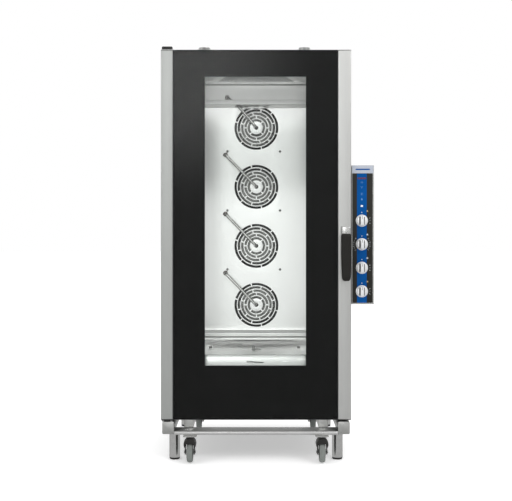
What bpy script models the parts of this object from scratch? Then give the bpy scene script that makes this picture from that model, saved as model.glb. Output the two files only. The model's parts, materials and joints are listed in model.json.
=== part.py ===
"""Combi steamer oven for twenty trays, standing on a base frame with levelling feet and castors.

Metres, +Z up, +X to the user's right, +Y to the back. The origin is the middle of the
footprint at floor level. Each piece is one object; a moving piece has its origin on its joint's axis.
"""

from math import cos, pi, radians, sin

import bmesh
import bpy
from mathutils import Matrix, Vector

GAP = 0.0003
SHEET = 0.002

# The oven body's middle lies left of the footprint's middle, because the controls stand out on the right.
BODY_X = -0.051

# Door: two aluminium profiles with glass and a pressed frame between them.
DOOR_LEFT = BODY_X - 0.4235
DOOR_RIGHT = BODY_X + 0.4235
DOOR_FRONT = -0.405
DOOR_BACK = -0.340
DOOR_BOTTOM = 0.187
DOOR_TOP = 1.833
LEFT_PROFILE_WIDTH = 0.054
RIGHT_PROFILE_WIDTH = 0.059
PROFILE_WALL = 0.003
WINDOW_X = (BODY_X - 0.227, BODY_X + 0.222)
WINDOW_Z = (0.427, 1.714)
OUTER_GLASS = 0.006
INNER_GLASS = 0.005
HINGE_X = DOOR_LEFT + 0.028
HINGE_Y = (DOOR_FRONT + DOOR_BACK) / 2
HINGE_PIN_RADIUS = 0.007
HINGE_PIN_REACH = 0.048
TOP_ARM_Z = 1.837
HINGE_BLOCK_TOP = 1.850

# Handle, turning on a spindle through the right profile.
HANDLE_X = BODY_X + 0.3975
HANDLE_Z = 1.031
HANDLE_FRONT = -0.465
HANDLE_LENGTH = 0.223
GRIP_WIDTH = 0.045
SPINDLE_RADIUS = 0.006
LATCH_REACH = 0.013
LATCH_POCKET = 0.032

# Body casing.
BODY_HALF_WIDTH = 0.4175
BODY_FRONT = -0.328
BODY_BACK = 0.465
CASING_BOTTOM = 0.1875
CASING_TOP = 1.833
LID_RIM = 0.020
RETURN = 0.020

# Cavity.
CAVITY_HALF_WIDTH = 0.335
CAVITY_FLOOR = 0.466
CAVITY_CEILING = 1.768
REAR_WALL = 0.265
DRAIN_RADIUS = 0.022
DRAIN_DEPTH = 0.015
DRAIN_BOTTOM = 0.330
SEAL_MARGIN = 0.006
SEAL_WIDTH = 0.018
SEAL_SILL_Z = 0.418

# Fans behind a punched deflector.
FAN_COUNT = 4
FAN_X = BODY_X + 0.002
TOP_FAN_Z = 1.5365
FAN_PITCH = 0.295
FAN_RADIUS = 0.120
FAN_FRONT = 0.187
FAN_BACK = 0.235
SHAFT_END = 0.380
BLADES = 8
SHAFT_RADIUS = 0.007
MOTOR_RADIUS = 0.058
DEFLECTOR_FRONT = 0.155
DEFLECTOR_HALF_WIDTH = 0.292
DEFLECTOR_Z = (0.526, 1.6375)
FLANGE_REACH = 0.040
FLANGE_SLOPE = 0.010
TOP_LIP = 0.025
BOTTOM_LIP = 0.017
NOTCH_X = BODY_X - 0.0854
NOTCH_HALF_WIDTH = 0.018
GRILLE_FIRST_RADIUS = 0.038
GRILLE_PITCH = 0.0165
SLOT_WIDTH = 0.010
# Slots in each ring of a grille, and the angle of one bridge between them.
GRILLE_RINGS = ((4, radians(45)), (4, 0), (6, radians(44)), (6, radians(15)), (6, radians(44)))
BRIDGE = 0.007
NOZZLE_HOLE_RADIUS = 0.010
HEATER_RADIUS = 0.1345
HEATER_ROD = 0.004

# Water injection pipes, one to each fan.
PIPE_RADIUS = 0.0065
PIPE_FRONT = 0.128
PIPE_OFFSET = (-0.1545, 0.1595)
TOP_PIPE_ROOT = (BODY_X - 0.147, 1.701)

# Tray racks.
RACK_INNER = 0.301
RACK_OUTER = 0.326
RACK_FRONT = -0.290
RACK_BACK = 0.105
RACK_BOTTOM = 0.480
TRAY_LEVELS = 20
TRAY_PITCH = 0.062

# Water inlet in the rear cover.
INLET = (BODY_X + 0.30, 0.300)
INLET_HOLE_RADIUS = 0.017

# Vent chimneys.
CHIMNEY_RADIUS = 0.027
CHIMNEY_WALL = 0.002
CHIMNEY_Y = -0.155
CHIMNEY_TOP = 1.883
CHIMNEY_X = {"left": BODY_X - 0.2417, "right": BODY_X + 0.2267}

# Control box on the right.
CONTROL_LEFT = 0.3755
CONTROL_RIGHT = 0.475
CONTROL_Z = (0.700, 1.320)
CONTROL_FRONT = -0.385
CONTROL_BACK = -0.085
FASCIA = 0.005
KNOB_X = BODY_X + 0.4722
TOP_KNOB_Z = 1.073
KNOB_PITCH = 0.105
KNOB_RADIUS = 0.027
KNOB_SHAFT_RADIUS = 0.004

# Base frame.
BEAM_Z = (0.122, 0.178)
SIDE_BEAM_X = (0.365, 0.418)
INNER_BEAM_X = (0.283, 0.326)
BASE_FRONT = DOOR_FRONT
BASE_BACK = 0.455
CROSS_Z = (0.1186, 0.134)
FRONT_CROSS_Y = (BASE_FRONT, -0.300)
REAR_CROSS_Y = (0.310, 0.415)
FRAME_WALL = 0.003
LEG_X = 0.3665
LEG_Y = {"front": -0.340, "rear": 0.390}
LEG_RADIUS = 0.0245
LEG_BOTTOM = 0.009
LEG_BUSH_RADIUS = 0.0105
FOOT_STEM_RADIUS = 0.010

# Castors, parked just clear of the floor.
CASTOR_X = 0.293
CASTOR_Y = {"front": -0.398, "rear": 0.330}
CASTOR_TRAIL = 0.018
WHEEL_RADIUS = 0.046
WHEEL_HALF_WIDTH = 0.0165
WHEEL_Z = WHEEL_RADIUS + 0.0015
AXLE_RADIUS = 0.005
CASTOR_PLATE_Z = (0.1150, 0.1190)
CASTOR_PLATE_FRONT = 0.034
CASTOR_PLATE_BACK = {"front": 0.048, "rear": 0.040}
CASTOR_PLATE_HALF = 0.030
HOOD_RADIUS = 0.028
HOOD_Z = 0.084
CHEEK_HALF = 0.011

SIDES = {"left": -1, "right": 1}
AXIS_TURN = {
    "X": Matrix.Rotation(pi / 2, 4, "Y"),
    "Y": Matrix.Rotation(-pi / 2, 4, "X"),
    "Z": Matrix.Identity(4),
}


def clear_scene():
    for obj in list(bpy.data.objects):
        bpy.data.objects.remove(obj, do_unlink=True)


def material(name, colour, roughness, metallic, alpha=1.0):
    made = bpy.data.materials.new(name)
    made.use_nodes = True
    shader = made.node_tree.nodes["Principled BSDF"]
    shader.inputs["Base Color"].default_value = (*colour, 1.0)
    shader.inputs["Roughness"].default_value = roughness
    shader.inputs["Metallic"].default_value = metallic
    shader.inputs["Alpha"].default_value = alpha
    made.diffuse_color = (*colour, alpha)
    return made


def to_mesh(bm, name, smooth=False):
    bmesh.ops.recalc_face_normals(bm, faces=bm.faces)
    mesh = bpy.data.meshes.new(name)
    bm.to_mesh(mesh)
    bm.free()
    if smooth:
        mesh.shade_smooth()
        mesh.set_sharp_from_angle(angle=radians(35))
    return mesh


def piece(name, data, look, origin=(0, 0, 0), parent=None):
    """A visible piece whose data is drawn around origin; origin is in world coordinates."""
    obj = bpy.data.objects.new(name, data)
    bpy.context.scene.collection.objects.link(obj)
    obj.location = Vector(origin)
    if parent is not None:
        obj.parent = parent
        obj.location = Vector(origin) - parent.location
    if not data.materials:
        data.materials.append(look)
    return obj


def helper(name, data, target):
    """A wire-only operand for the target's Boolean modifiers, in the target's own coordinates."""
    obj = bpy.data.objects.new(name, data)
    bpy.context.scene.collection.objects.link(obj)
    obj.parent = target
    obj.hide_render = True
    obj.display_type = "WIRE"
    return obj


def combine(target, operation, meshes):
    """Unites the target with the meshes, or cuts them from it."""
    group = bpy.data.collections.new(f"{target.name}_{operation.lower()}")
    for index, mesh in enumerate(meshes, 1):
        group.objects.link(helper(f"{target.name}_{operation.lower()}_{index}", mesh, target))
    modifier = target.modifiers.new(operation.title(), "BOOLEAN")
    modifier.operation = operation
    modifier.solver = "EXACT"
    modifier.operand_type = "COLLECTION"
    modifier.collection = group


def box_mesh(name, low, high):
    bm = bmesh.new()
    bmesh.ops.create_cube(bm, size=1)
    low = Vector(low)
    high = Vector(high)
    bmesh.ops.scale(bm, vec=high - low, verts=bm.verts)
    bmesh.ops.translate(bm, vec=(low + high) / 2, verts=bm.verts)
    return to_mesh(bm, name)


def open_box_mesh(name, low, high, wall, open_side):
    """A sheet-metal box without the side that open_side points to."""
    bm = bmesh.new()
    bmesh.ops.create_cube(bm, size=1)
    low = Vector(low)
    high = Vector(high)
    bmesh.ops.scale(bm, vec=high - low, verts=bm.verts)
    bmesh.ops.translate(bm, vec=(low + high) / 2, verts=bm.verts)
    bm.normal_update()
    side = Vector(open_side)
    mouth = max(bm.faces, key=lambda face: face.normal.dot(side))
    depth = abs((high - low).dot(side)) - wall
    bmesh.ops.inset_region(bm, faces=[mouth], thickness=wall)
    moved = bmesh.ops.extrude_discrete_faces(bm, faces=[mouth])["faces"][0]
    bmesh.ops.translate(bm, vec=-depth * side, verts=moved.verts)
    return to_mesh(bm, name)


def in_plane(axis, across, up, along):
    """A 3-D point from two coordinates across an axis and one along it."""
    if axis == "X":
        return Vector((along, across, up))
    if axis == "Y":
        return Vector((across, along, up))
    return Vector((across, up, along))


def prism_mesh(name, outline, axis, start, end, smooth=False):
    """The outline, drawn across the axis, extruded from start to end along it."""
    bm = bmesh.new()
    corners = [bm.verts.new(in_plane(axis, across, up, start)) for across, up in outline]
    face = bm.faces.new(corners)
    swept = bmesh.ops.extrude_face_region(bm, geom=[face], use_keep_orig=True)["geom"]
    moved = [item for item in swept if isinstance(item, bmesh.types.BMVert)]
    bmesh.ops.translate(bm, vec=in_plane(axis, 0, 0, end - start), verts=moved)
    return to_mesh(bm, name, smooth)


def filled_sheet(bm, axis, level, outline, holes):
    """Fills the flat region between an outline and its holes."""
    edges = []
    for loop in [outline, *holes]:
        verts = [bm.verts.new(in_plane(axis, across, up, level)) for across, up in loop]
        edges += [bm.edges.new((verts[i - 1], verts[i])) for i in range(len(verts))]
    bmesh.ops.triangle_fill(bm, edges=edges, use_beauty=True, use_dissolve=False)


def plate_mesh(name, outline, holes, axis, start, end):
    """A flat plate with holes."""
    bm = bmesh.new()
    filled_sheet(bm, axis, start, outline, holes)
    swept = bmesh.ops.extrude_face_region(bm, geom=list(bm.faces), use_keep_orig=True)["geom"]
    moved = [item for item in swept if isinstance(item, bmesh.types.BMVert)]
    bmesh.ops.translate(bm, vec=in_plane(axis, 0, 0, end - start), verts=moved)
    return to_mesh(bm, name)


def turned_mesh(name, profile, axis, segments, closed=False):
    """The profile of (radius, distance along the axis) points, spun round the axis."""
    bm = bmesh.new()
    verts = [bm.verts.new((radius, 0, along)) for radius, along in profile]
    edges = [bm.edges.new(pair) for pair in zip(verts, verts[1:])]
    if closed:
        edges.append(bm.edges.new((verts[-1], verts[0])))
    bmesh.ops.spin(
        bm, geom=verts + edges, axis=(0, 0, 1), cent=(0, 0, 0),
        angle=2 * pi, steps=segments, use_merge=True,
    )
    bmesh.ops.remove_doubles(bm, verts=bm.verts, dist=1e-6)
    bmesh.ops.transform(bm, matrix=AXIS_TURN[axis], verts=bm.verts)
    return to_mesh(bm, name, smooth=True)


def round_mesh(name, radius, axis, start, end, segments=16):
    """A solid cylinder on the axis."""
    profile = [(0, start), (radius, start), (radius, end), (0, end)]
    return turned_mesh(name, profile, axis, segments)


def shifted(mesh, offset):
    mesh.transform(Matrix.Translation(Vector(offset)))
    return mesh


def window_frame_mesh(name, inner, outer, section):
    """A rectangular frame with mitred corners, between an inner and an outer rectangle in the XZ plane.

    A rectangle is (x0, z0, x1, z1). Each section point is (rectangle, outward offset, y).
    """
    bm = bmesh.new()
    rings = []
    for x_end, z_end in ((0, 1), (2, 1), (2, 3), (0, 3)):
        ring = []
        for rectangle, offset, y in section:
            bounds = inner if rectangle == "inner" else outer
            x = bounds[x_end] + (offset if x_end == 2 else -offset)
            z = bounds[z_end] + (offset if z_end == 3 else -offset)
            ring.append(bm.verts.new((x, y, z)))
        rings.append(ring)
    for corner in range(4):
        near = rings[corner]
        far = rings[(corner + 1) % 4]
        for i in range(len(section)):
            bm.faces.new((near[i - 1], near[i], far[i], far[i - 1]))
    return to_mesh(bm, name)


def circle(across, up, radius, count=16):
    return [
        (across + radius * cos(2 * pi * i / count), up + radius * sin(2 * pi * i / count))
        for i in range(count)
    ]


def rectangle(low_across, low_up, high_across, high_up):
    return [(low_across, low_up), (high_across, low_up), (high_across, high_up), (low_across, high_up)]


def rounded_path(points, radius, steps=4):
    """The polyline with each inner corner turned into an arc-like bend."""
    points = [Vector(point) for point in points]
    path = [points[0]]
    for before, corner, after in zip(points, points[1:], points[2:]):
        inward = (before - corner).normalized()
        outward = (after - corner).normalized()
        reach = min(radius, (before - corner).length * 0.45, (after - corner).length * 0.45)
        start = corner + inward * reach
        end = corner + outward * reach
        for step in range(steps + 1):
            t = step / steps
            path.append(start * (1 - t) ** 2 + corner * 2 * t * (1 - t) + end * t**2)
    path.append(points[-1])
    return path


def rod(name, points, radius, look, resolution=1):
    """A bent round rod or tube along the points."""
    curve = bpy.data.curves.new(name, "CURVE")
    curve.dimensions = "3D"
    curve.bevel_depth = radius
    curve.bevel_resolution = resolution
    curve.use_fill_caps = True
    spline = curve.splines.new("POLY")
    spline.points.add(len(points) - 1)
    for target, point in zip(spline.points, points):
        target.co = (*point, 1)
    return piece(name, curve, look)


def empty(name, origin):
    obj = bpy.data.objects.new(name, None)
    bpy.context.scene.collection.objects.link(obj)
    obj.location = origin
    return obj


def fan_heights():
    return [TOP_FAN_Z - FAN_PITCH * index for index in range(FAN_COUNT)]


# Base


def channel_meshes(name, x, y, z):
    """An upside-down channel with closed ends, as overlapping plates."""
    top = z[1] - FRAME_WALL
    return [
        box_mesh(f"{name}_top", (x[0], y[0], top), (x[1], y[1], z[1])),
        box_mesh(f"{name}_low_x", (x[0], y[0], z[0]), (x[0] + FRAME_WALL, y[1], z[1])),
        box_mesh(f"{name}_high_x", (x[1] - FRAME_WALL, y[0], z[0]), (x[1], y[1], z[1])),
        box_mesh(f"{name}_front", (x[0], y[0], z[0]), (x[1], y[0] + FRAME_WALL, z[1])),
        box_mesh(f"{name}_back", (x[0], y[1] - FRAME_WALL, z[0]), (x[1], y[1], z[1])),
    ]


def mirrored_span(side, span):
    low, high = sorted(side * value for value in span)
    return BODY_X + low, BODY_X + high


def base_frame(steel):
    """Side beams, inner beams, cross channels, legs and castor plates, welded into one frame."""
    parts = []
    cross_x = (BODY_X - SIDE_BEAM_X[0] - 0.001, BODY_X + SIDE_BEAM_X[0] + 0.001)
    parts += channel_meshes("front_cross", cross_x, FRONT_CROSS_Y, CROSS_Z)
    parts += channel_meshes("rear_cross", cross_x, REAR_CROSS_Y, CROSS_Z)
    for side_name, side in SIDES.items():
        beam_x = mirrored_span(side, SIDE_BEAM_X)
        parts += channel_meshes(f"{side_name}_beam", beam_x, (BASE_FRONT, BASE_BACK), BEAM_Z)
        inner_x = mirrored_span(side, INNER_BEAM_X)
        inner_y = (FRONT_CROSS_Y[1] - 0.020, REAR_CROSS_Y[0] + 0.020)
        parts += channel_meshes(f"{side_name}_inner_beam", inner_x, inner_y, (CROSS_Z[1] - 0.001, BEAM_Z[1]))
        for end, leg_y in LEG_Y.items():
            bush_top = LEG_BOTTOM + 0.021
            leg_top = CROSS_Z[1] - 0.001
            inside = LEG_RADIUS - 0.002
            profile = [
                (LEG_RADIUS, LEG_BOTTOM), (LEG_RADIUS, leg_top), (inside, leg_top),
                (inside, bush_top), (LEG_BUSH_RADIUS, bush_top), (LEG_BUSH_RADIUS, LEG_BOTTOM),
            ]
            leg = turned_mesh(f"{end}_{side_name}_leg", profile, "Z", 12, closed=True)
            parts.append(shifted(leg, (BODY_X + side * LEG_X, leg_y, 0)))
            castor_y = CASTOR_Y[end]
            plate_x = BODY_X + side * CASTOR_X
            parts.append(
                box_mesh(
                    f"{end}_{side_name}_castor_plate",
                    (plate_x - CASTOR_PLATE_HALF, castor_y - CASTOR_PLATE_FRONT, CASTOR_PLATE_Z[0]),
                    (plate_x + CASTOR_PLATE_HALF, castor_y + CASTOR_PLATE_BACK[end], CASTOR_PLATE_Z[1]),
                )
            )
    frame = piece("base_frame", parts[0], steel)
    combine(frame, "UNION", parts[1:])


def feet(plastic):
    profile = [
        (0, 0), (0.0205, 0), (0.0235, 0.003), (0.0235, LEG_BOTTOM - GAP),
        (FOOT_STEM_RADIUS, LEG_BOTTOM - GAP), (FOOT_STEM_RADIUS, 0.070), (0, 0.070),
    ]
    mesh = turned_mesh("levelling_foot", profile, "Z", 12)
    for end, leg_y in LEG_Y.items():
        for side_name, side in SIDES.items():
            piece(f"foot_{end}_{side_name}", mesh, plastic, (BODY_X + side * LEG_X, leg_y, 0))


def castor_fork_mesh_parts():
    """Operands of one fork around its swivel axis: what is joined, and what is cut away."""
    wheel_y = -CASTOR_TRAIL
    head = round_mesh("castor_head", 0.024, "Z", HOOD_Z, CASTOR_PLATE_Z[0] - GAP, 14)
    hood = round_mesh("castor_hood", HOOD_RADIUS, "Y", wheel_y - 0.030, 0.020, 14)
    joined = [shifted(hood, (0, 0, HOOD_Z))]
    for side in SIDES.values():
        low, high = sorted((side * (WHEEL_HALF_WIDTH + 0.001), side * (WHEEL_HALF_WIDTH + 0.006)))
        cheek_low = (low, wheel_y - CHEEK_HALF, WHEEL_Z - CHEEK_HALF)
        cheek_high = (high, wheel_y + CHEEK_HALF, HOOD_Z)
        joined.append(box_mesh("castor_cheek", cheek_low, cheek_high))
    slot_half = WHEEL_HALF_WIDTH + 0.002
    arch = round_mesh("castor_arch", WHEEL_RADIUS + 0.003, "X", -slot_half, slot_half, 16)
    removed = [shifted(arch, (0, wheel_y, WHEEL_Z))]
    axle_half = WHEEL_HALF_WIDTH + 0.009
    axle = round_mesh("castor_axle", AXLE_RADIUS, "X", -axle_half, axle_half, 8)
    return head, joined, removed, shifted(axle, (0, wheel_y, WHEEL_Z))


def castors(plastic, rubber):
    half = WHEEL_HALF_WIDTH
    bore = AXLE_RADIUS + 0.0004
    wheel_profile = [
        (bore, -half), (0.014, -half), (0.038, -half + 0.002), (WHEEL_RADIUS - 0.0015, -0.009),
        (WHEEL_RADIUS, 0), (WHEEL_RADIUS - 0.0015, 0.009), (0.038, half - 0.002), (0.014, half),
        (bore, half),
    ]
    wheel = turned_mesh("castor_wheel", wheel_profile, "X", 16, closed=True)
    for end, castor_y in CASTOR_Y.items():
        for side_name, side in SIDES.items():
            place = (BODY_X + side * CASTOR_X, castor_y, 0)
            head, joined, removed, axle = castor_fork_mesh_parts()
            fork = piece(f"castor_fork_{end}_{side_name}", head, plastic, place)
            combine(fork, "UNION", joined)
            combine(fork, "DIFFERENCE", removed)
            add_axle(fork, axle)
            hub = (place[0], castor_y - CASTOR_TRAIL, WHEEL_Z)
            piece(f"castor_wheel_{end}_{side_name}", wheel, rubber, hub)


def add_axle(fork, axle):
    modifier = fork.modifiers.new("Axle", "BOOLEAN")
    modifier.operation = "UNION"
    modifier.solver = "EXACT"
    modifier.object = helper(f"{fork.name}_axle", axle, fork)


# Casing


def casing(steel):
    low_x = BODY_X - BODY_HALF_WIDTH
    high_x = BODY_X + BODY_HALF_WIDTH
    pan = open_box_mesh(
        "bottom_plate", (low_x, BODY_FRONT, BEAM_Z[1] + GAP), (high_x, BODY_BACK, CASING_BOTTOM - GAP),
        SHEET, (0, 0, 1),
    )
    piece("bottom_plate", pan, steel)
    lid = open_box_mesh(
        "top_panel", (low_x, BODY_FRONT, CASING_TOP - LID_RIM), (high_x, BODY_BACK, CASING_TOP),
        SHEET, (0, 0, -1),
    )
    lid_object = piece("top_panel", lid, steel)
    vents = [
        shifted(round_mesh("lid_vent", CHIMNEY_RADIUS + 0.0005, "Z", -0.05, 0.05), (x, CHIMNEY_Y, CASING_TOP))
        for x in CHIMNEY_X.values()
    ]
    combine(lid_object, "DIFFERENCE", vents)
    panel_top = CASING_TOP - LID_RIM - GAP
    for side_name, side in SIDES.items():
        outside = BODY_X + side * BODY_HALF_WIDTH
        inside = outside - side * SHEET
        lip = outside - side * RETURN
        front = BODY_FRONT + RETURN + GAP
        back = BODY_BACK - RETURN - GAP
        outline = [
            (outside, front), (outside, back), (lip, back), (lip, back - SHEET),
            (inside, back - SHEET), (inside, front + SHEET), (lip, front + SHEET), (lip, front),
        ]
        mesh = prism_mesh(f"{side_name}_side_panel", outline, "Z", CASING_BOTTOM, panel_top)
        piece(f"{side_name}_side_panel", mesh, steel)
    back_pan = open_box_mesh(
        "rear_cover", (low_x, BODY_BACK - RETURN, CASING_BOTTOM), (high_x, BODY_BACK, panel_top),
        SHEET, (0, -1, 0),
    )
    rear = piece("rear_cover", back_pan, steel)
    inlet = round_mesh("inlet_hole", INLET_HOLE_RADIUS, "Y", BODY_BACK - 0.05, BODY_BACK + 0.05)
    shifted(inlet, (INLET[0], 0, INLET[1]))
    combine(rear, "DIFFERENCE", [inlet])


def front_frame(steel):
    """The oven's front ring, with a pocket that the latch turns in."""
    opening = (BODY_X - CAVITY_HALF_WIDTH, CAVITY_FLOOR, BODY_X + CAVITY_HALF_WIDTH, CAVITY_CEILING)
    edge = (BODY_X - BODY_HALF_WIDTH, CASING_BOTTOM, BODY_X + BODY_HALF_WIDTH, CASING_TOP - LID_RIM - GAP)
    back = BODY_FRONT + RETURN
    section = [
        ("inner", 0, BODY_FRONT), ("outer", 0, BODY_FRONT), ("outer", 0, back),
        ("outer", -SHEET, back), ("outer", -SHEET, BODY_FRONT + SHEET),
        ("inner", SHEET, BODY_FRONT + SHEET), ("inner", SHEET, back), ("inner", 0, back),
    ]
    ring = piece("front_frame", window_frame_mesh("front_frame", opening, edge, section), steel)
    half = LATCH_POCKET / 2
    pocket = box_mesh(
        "latch_pocket",
        (HANDLE_X - half, BODY_FRONT - 0.01, HANDLE_Z - half),
        (HANDLE_X + half, BODY_FRONT + SHEET + 0.01, HANDLE_Z + half),
    )
    combine(ring, "DIFFERENCE", [pocket])


def door_seal(rubber):
    """A hollow-backed silicone gasket round the opening, pressed flat by the closed door."""
    opening = (
        BODY_X - CAVITY_HALF_WIDTH - SEAL_MARGIN, SEAL_SILL_Z,
        BODY_X + CAVITY_HALF_WIDTH + SEAL_MARGIN, CAVITY_CEILING + SEAL_MARGIN,
    )
    edge = (
        opening[0] - SEAL_WIDTH, opening[1] - SEAL_WIDTH, opening[2] + SEAL_WIDTH, opening[3] + SEAL_WIDTH,
    )
    back = BODY_FRONT - GAP
    front = DOOR_BACK + 0.0005
    section = [
        ("inner", 0, back), ("inner", 0, back - 0.006), ("inner", 0.004, front),
        ("outer", -0.004, front), ("outer", 0, back - 0.006), ("outer", 0, back),
    ]
    piece("door_seal", window_frame_mesh("door_seal", opening, edge, section), rubber)


def chimneys(steel):
    profile = [
        (CHIMNEY_RADIUS, CAVITY_CEILING + SHEET + GAP), (CHIMNEY_RADIUS, CHIMNEY_TOP),
        (CHIMNEY_RADIUS - CHIMNEY_WALL, CHIMNEY_TOP),
        (CHIMNEY_RADIUS - CHIMNEY_WALL, CAVITY_CEILING + SHEET + GAP),
    ]
    mesh = turned_mesh("vent_chimney", profile, "Z", 16, closed=True)
    for side_name, x in CHIMNEY_X.items():
        piece(f"vent_chimney_{side_name}", mesh, steel, (x, CHIMNEY_Y, 0))


def water_valve(plastic):
    """Solenoid valve: coil housing, neck and the threaded inlet that stands in the rear cover's hole."""
    profile = [
        (0, 0.340), (0.022, 0.340), (0.022, 0.395), (0.010, 0.400), (0.010, 0.415),
        (0.021, 0.418), (0.021, 0.436), (0.013, 0.438), (0.013, 0.4648), (0.009, 0.4648),
        (0.009, 0.430), (0, 0.430),
    ]
    piece("water_valve", turned_mesh("water_valve", profile, "Y", 12), plastic, (INLET[0], 0, INLET[1]))


# Cavity


def cavity(steel):
    inside = CAVITY_HALF_WIDTH
    outside = inside + SHEET
    left = BODY_X - inside
    right = BODY_X + inside
    outline = [
        (left, CAVITY_FLOOR), (left, CAVITY_CEILING), (right, CAVITY_CEILING), (right, CAVITY_FLOOR),
        (BODY_X + outside, CAVITY_FLOOR), (BODY_X + outside, CAVITY_CEILING + SHEET),
        (BODY_X - outside, CAVITY_CEILING + SHEET), (BODY_X - outside, CAVITY_FLOOR),
    ]
    front = BODY_FRONT + RETURN + GAP
    wrap = piece(
        "cavity_wrap", prism_mesh("cavity_wrap", outline, "Y", front, REAR_WALL - GAP), steel
    )
    vent_z = (CAVITY_CEILING - 0.02, CAVITY_CEILING + 0.02)
    vents = [
        shifted(round_mesh("cavity_vent", CHIMNEY_RADIUS - 0.004, "Z", *vent_z), (x, CHIMNEY_Y, 0))
        for x in CHIMNEY_X.values()
    ]
    combine(wrap, "DIFFERENCE", vents)
    wall = rectangle(BODY_X - outside, CAVITY_FLOOR, BODY_X + outside, CAVITY_CEILING + SHEET)
    shafts = [circle(FAN_X, z, 0.012, 10) for z in fan_heights()]
    mesh = plate_mesh("cavity_rear_wall", wall, shafts, "Y", REAR_WALL, REAR_WALL + SHEET)
    piece("cavity_rear_wall", mesh, steel)
    cavity_floor(steel, front, REAR_WALL - GAP)


def cavity_floor(steel, front, back):
    """A floor pan falling to a drain, with the drain's socket drawn down from it."""
    per_side = 4
    half_x = CAVITY_HALF_WIDTH - GAP
    centre_y = (front + back) / 2
    half_y = (back - front) / 2
    turn = 2 * pi / (4 * per_side)
    rim = []
    ring = []
    for index in range(4 * per_side):
        angle = index * turn - 3 * pi / 4
        side, step = divmod(index, per_side)
        along = 2 * step / per_side - 1
        edge = [(along, -1), (1, along), (-along, 1), (-1, -along)][side]
        rim.append((edge[0] * half_x, edge[1] * half_y))
        ring.append((cos(angle), sin(angle)))
    drain_z = CAVITY_FLOOR - DRAIN_DEPTH
    outer_drain = DRAIN_RADIUS + SHEET
    loops = [
        [(x, y, CAVITY_FLOOR) for x, y in rim],
        [(x * DRAIN_RADIUS, y * DRAIN_RADIUS, drain_z) for x, y in ring],
        [(x * DRAIN_RADIUS, y * DRAIN_RADIUS, DRAIN_BOTTOM) for x, y in ring],
        [(x * outer_drain, y * outer_drain, DRAIN_BOTTOM) for x, y in ring],
        [(x * outer_drain, y * outer_drain, drain_z - SHEET) for x, y in ring],
        [(x, y, CAVITY_FLOOR - SHEET) for x, y in rim],
    ]
    bm = bmesh.new()
    rings = [[bm.verts.new(point) for point in loop] for loop in loops]
    count = len(rim)
    for level in range(len(rings)):
        near = rings[level - 1]
        far = rings[level]
        for i in range(count):
            bm.faces.new((near[i - 1], near[i], far[i], far[i - 1]))
    piece("cavity_floor", to_mesh(bm, "cavity_floor"), steel, (BODY_X, centre_y, 0))


def grille_slots(centre_z):
    """Rings of curved slots with narrow bridges between them."""
    slots = []
    segments = 3
    for ring, (count, first_bridge) in enumerate(GRILLE_RINGS):
        middle = GRILLE_FIRST_RADIUS + ring * GRILLE_PITCH
        half_bridge = BRIDGE / middle / 2
        span = 2 * pi / count - 2 * half_bridge
        for slot in range(count):
            start = first_bridge + slot * 2 * pi / count + half_bridge
            angles = [start + span * step / segments for step in range(segments + 1)]
            outline = [(middle + SLOT_WIDTH / 2, angle) for angle in angles]
            outline += [(middle - SLOT_WIDTH / 2, angle) for angle in reversed(angles)]
            slots.append([(FAN_X + radius * cos(a), centre_z + radius * sin(a)) for radius, a in outline])
    return slots


def fan_deflector(steel):
    """The punched air guide in front of the fans, with forward flanges and lips above and below."""
    left = BODY_X - DEFLECTOR_HALF_WIDTH
    right = BODY_X + DEFLECTOR_HALF_WIDTH
    low_z, high_z = DEFLECTOR_Z
    outline = [
        (left, low_z), (right, low_z), (right, high_z),
        (NOTCH_X + NOTCH_HALF_WIDTH, high_z), (NOTCH_X - NOTCH_HALF_WIDTH, high_z), (left, high_z),
    ]
    holes = []
    for index, z in enumerate(fan_heights()):
        holes += grille_slots(z)
        holes.append(circle(FAN_X, z, NOZZLE_HOLE_RADIUS, 12))
        if index:
            holes.append(circle(FAN_X + PIPE_OFFSET[0], z + PIPE_OFFSET[1], PIPE_RADIUS + 0.002, 12))
    bm = bmesh.new()
    filled_sheet(bm, "Y", DEFLECTOR_FRONT, outline, holes)
    bmesh.ops.remove_doubles(bm, verts=bm.verts, dist=1e-6)
    for level, direction, lip in ((high_z, 1, TOP_LIP), (low_z, -1, BOTTOM_LIP)):
        edges = [edge for edge in bm.edges if all(abs(vert.co.z - level) < 1e-6 for vert in edge.verts)]
        flange = bmesh.ops.extrude_edge_only(bm, edges=edges)["geom"]
        verts = [item for item in flange if isinstance(item, bmesh.types.BMVert)]
        bmesh.ops.translate(bm, vec=(0, -FLANGE_REACH, direction * FLANGE_SLOPE), verts=verts)
        outer_edges = [item for item in flange if isinstance(item, bmesh.types.BMEdge)]
        rim = bmesh.ops.extrude_edge_only(bm, edges=outer_edges)["geom"]
        verts = [item for item in rim if isinstance(item, bmesh.types.BMVert)]
        bmesh.ops.translate(bm, vec=(0, 0, direction * lip), verts=verts)
    notch = [
        face for face in bm.faces
        if abs(face.calc_center_median().x - NOTCH_X) < 1e-4
        and high_z < face.calc_center_median().z < high_z + FLANGE_SLOPE
    ]
    bmesh.ops.delete(bm, geom=notch, context="FACES_ONLY")
    deflector = piece("fan_deflector", to_mesh(bm, "fan_deflector"), steel)
    flat_faces = [face for face in deflector.data.polygons if abs(face.normal.y) > 0.99]
    facing_front = flat_faces[0].normal.y < 0
    solidify = deflector.modifiers.new("Solidify", "SOLIDIFY")
    solidify.thickness = 0.0015
    solidify.offset = -1 if facing_front else 1
    solidify.use_even_offset = True


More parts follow.
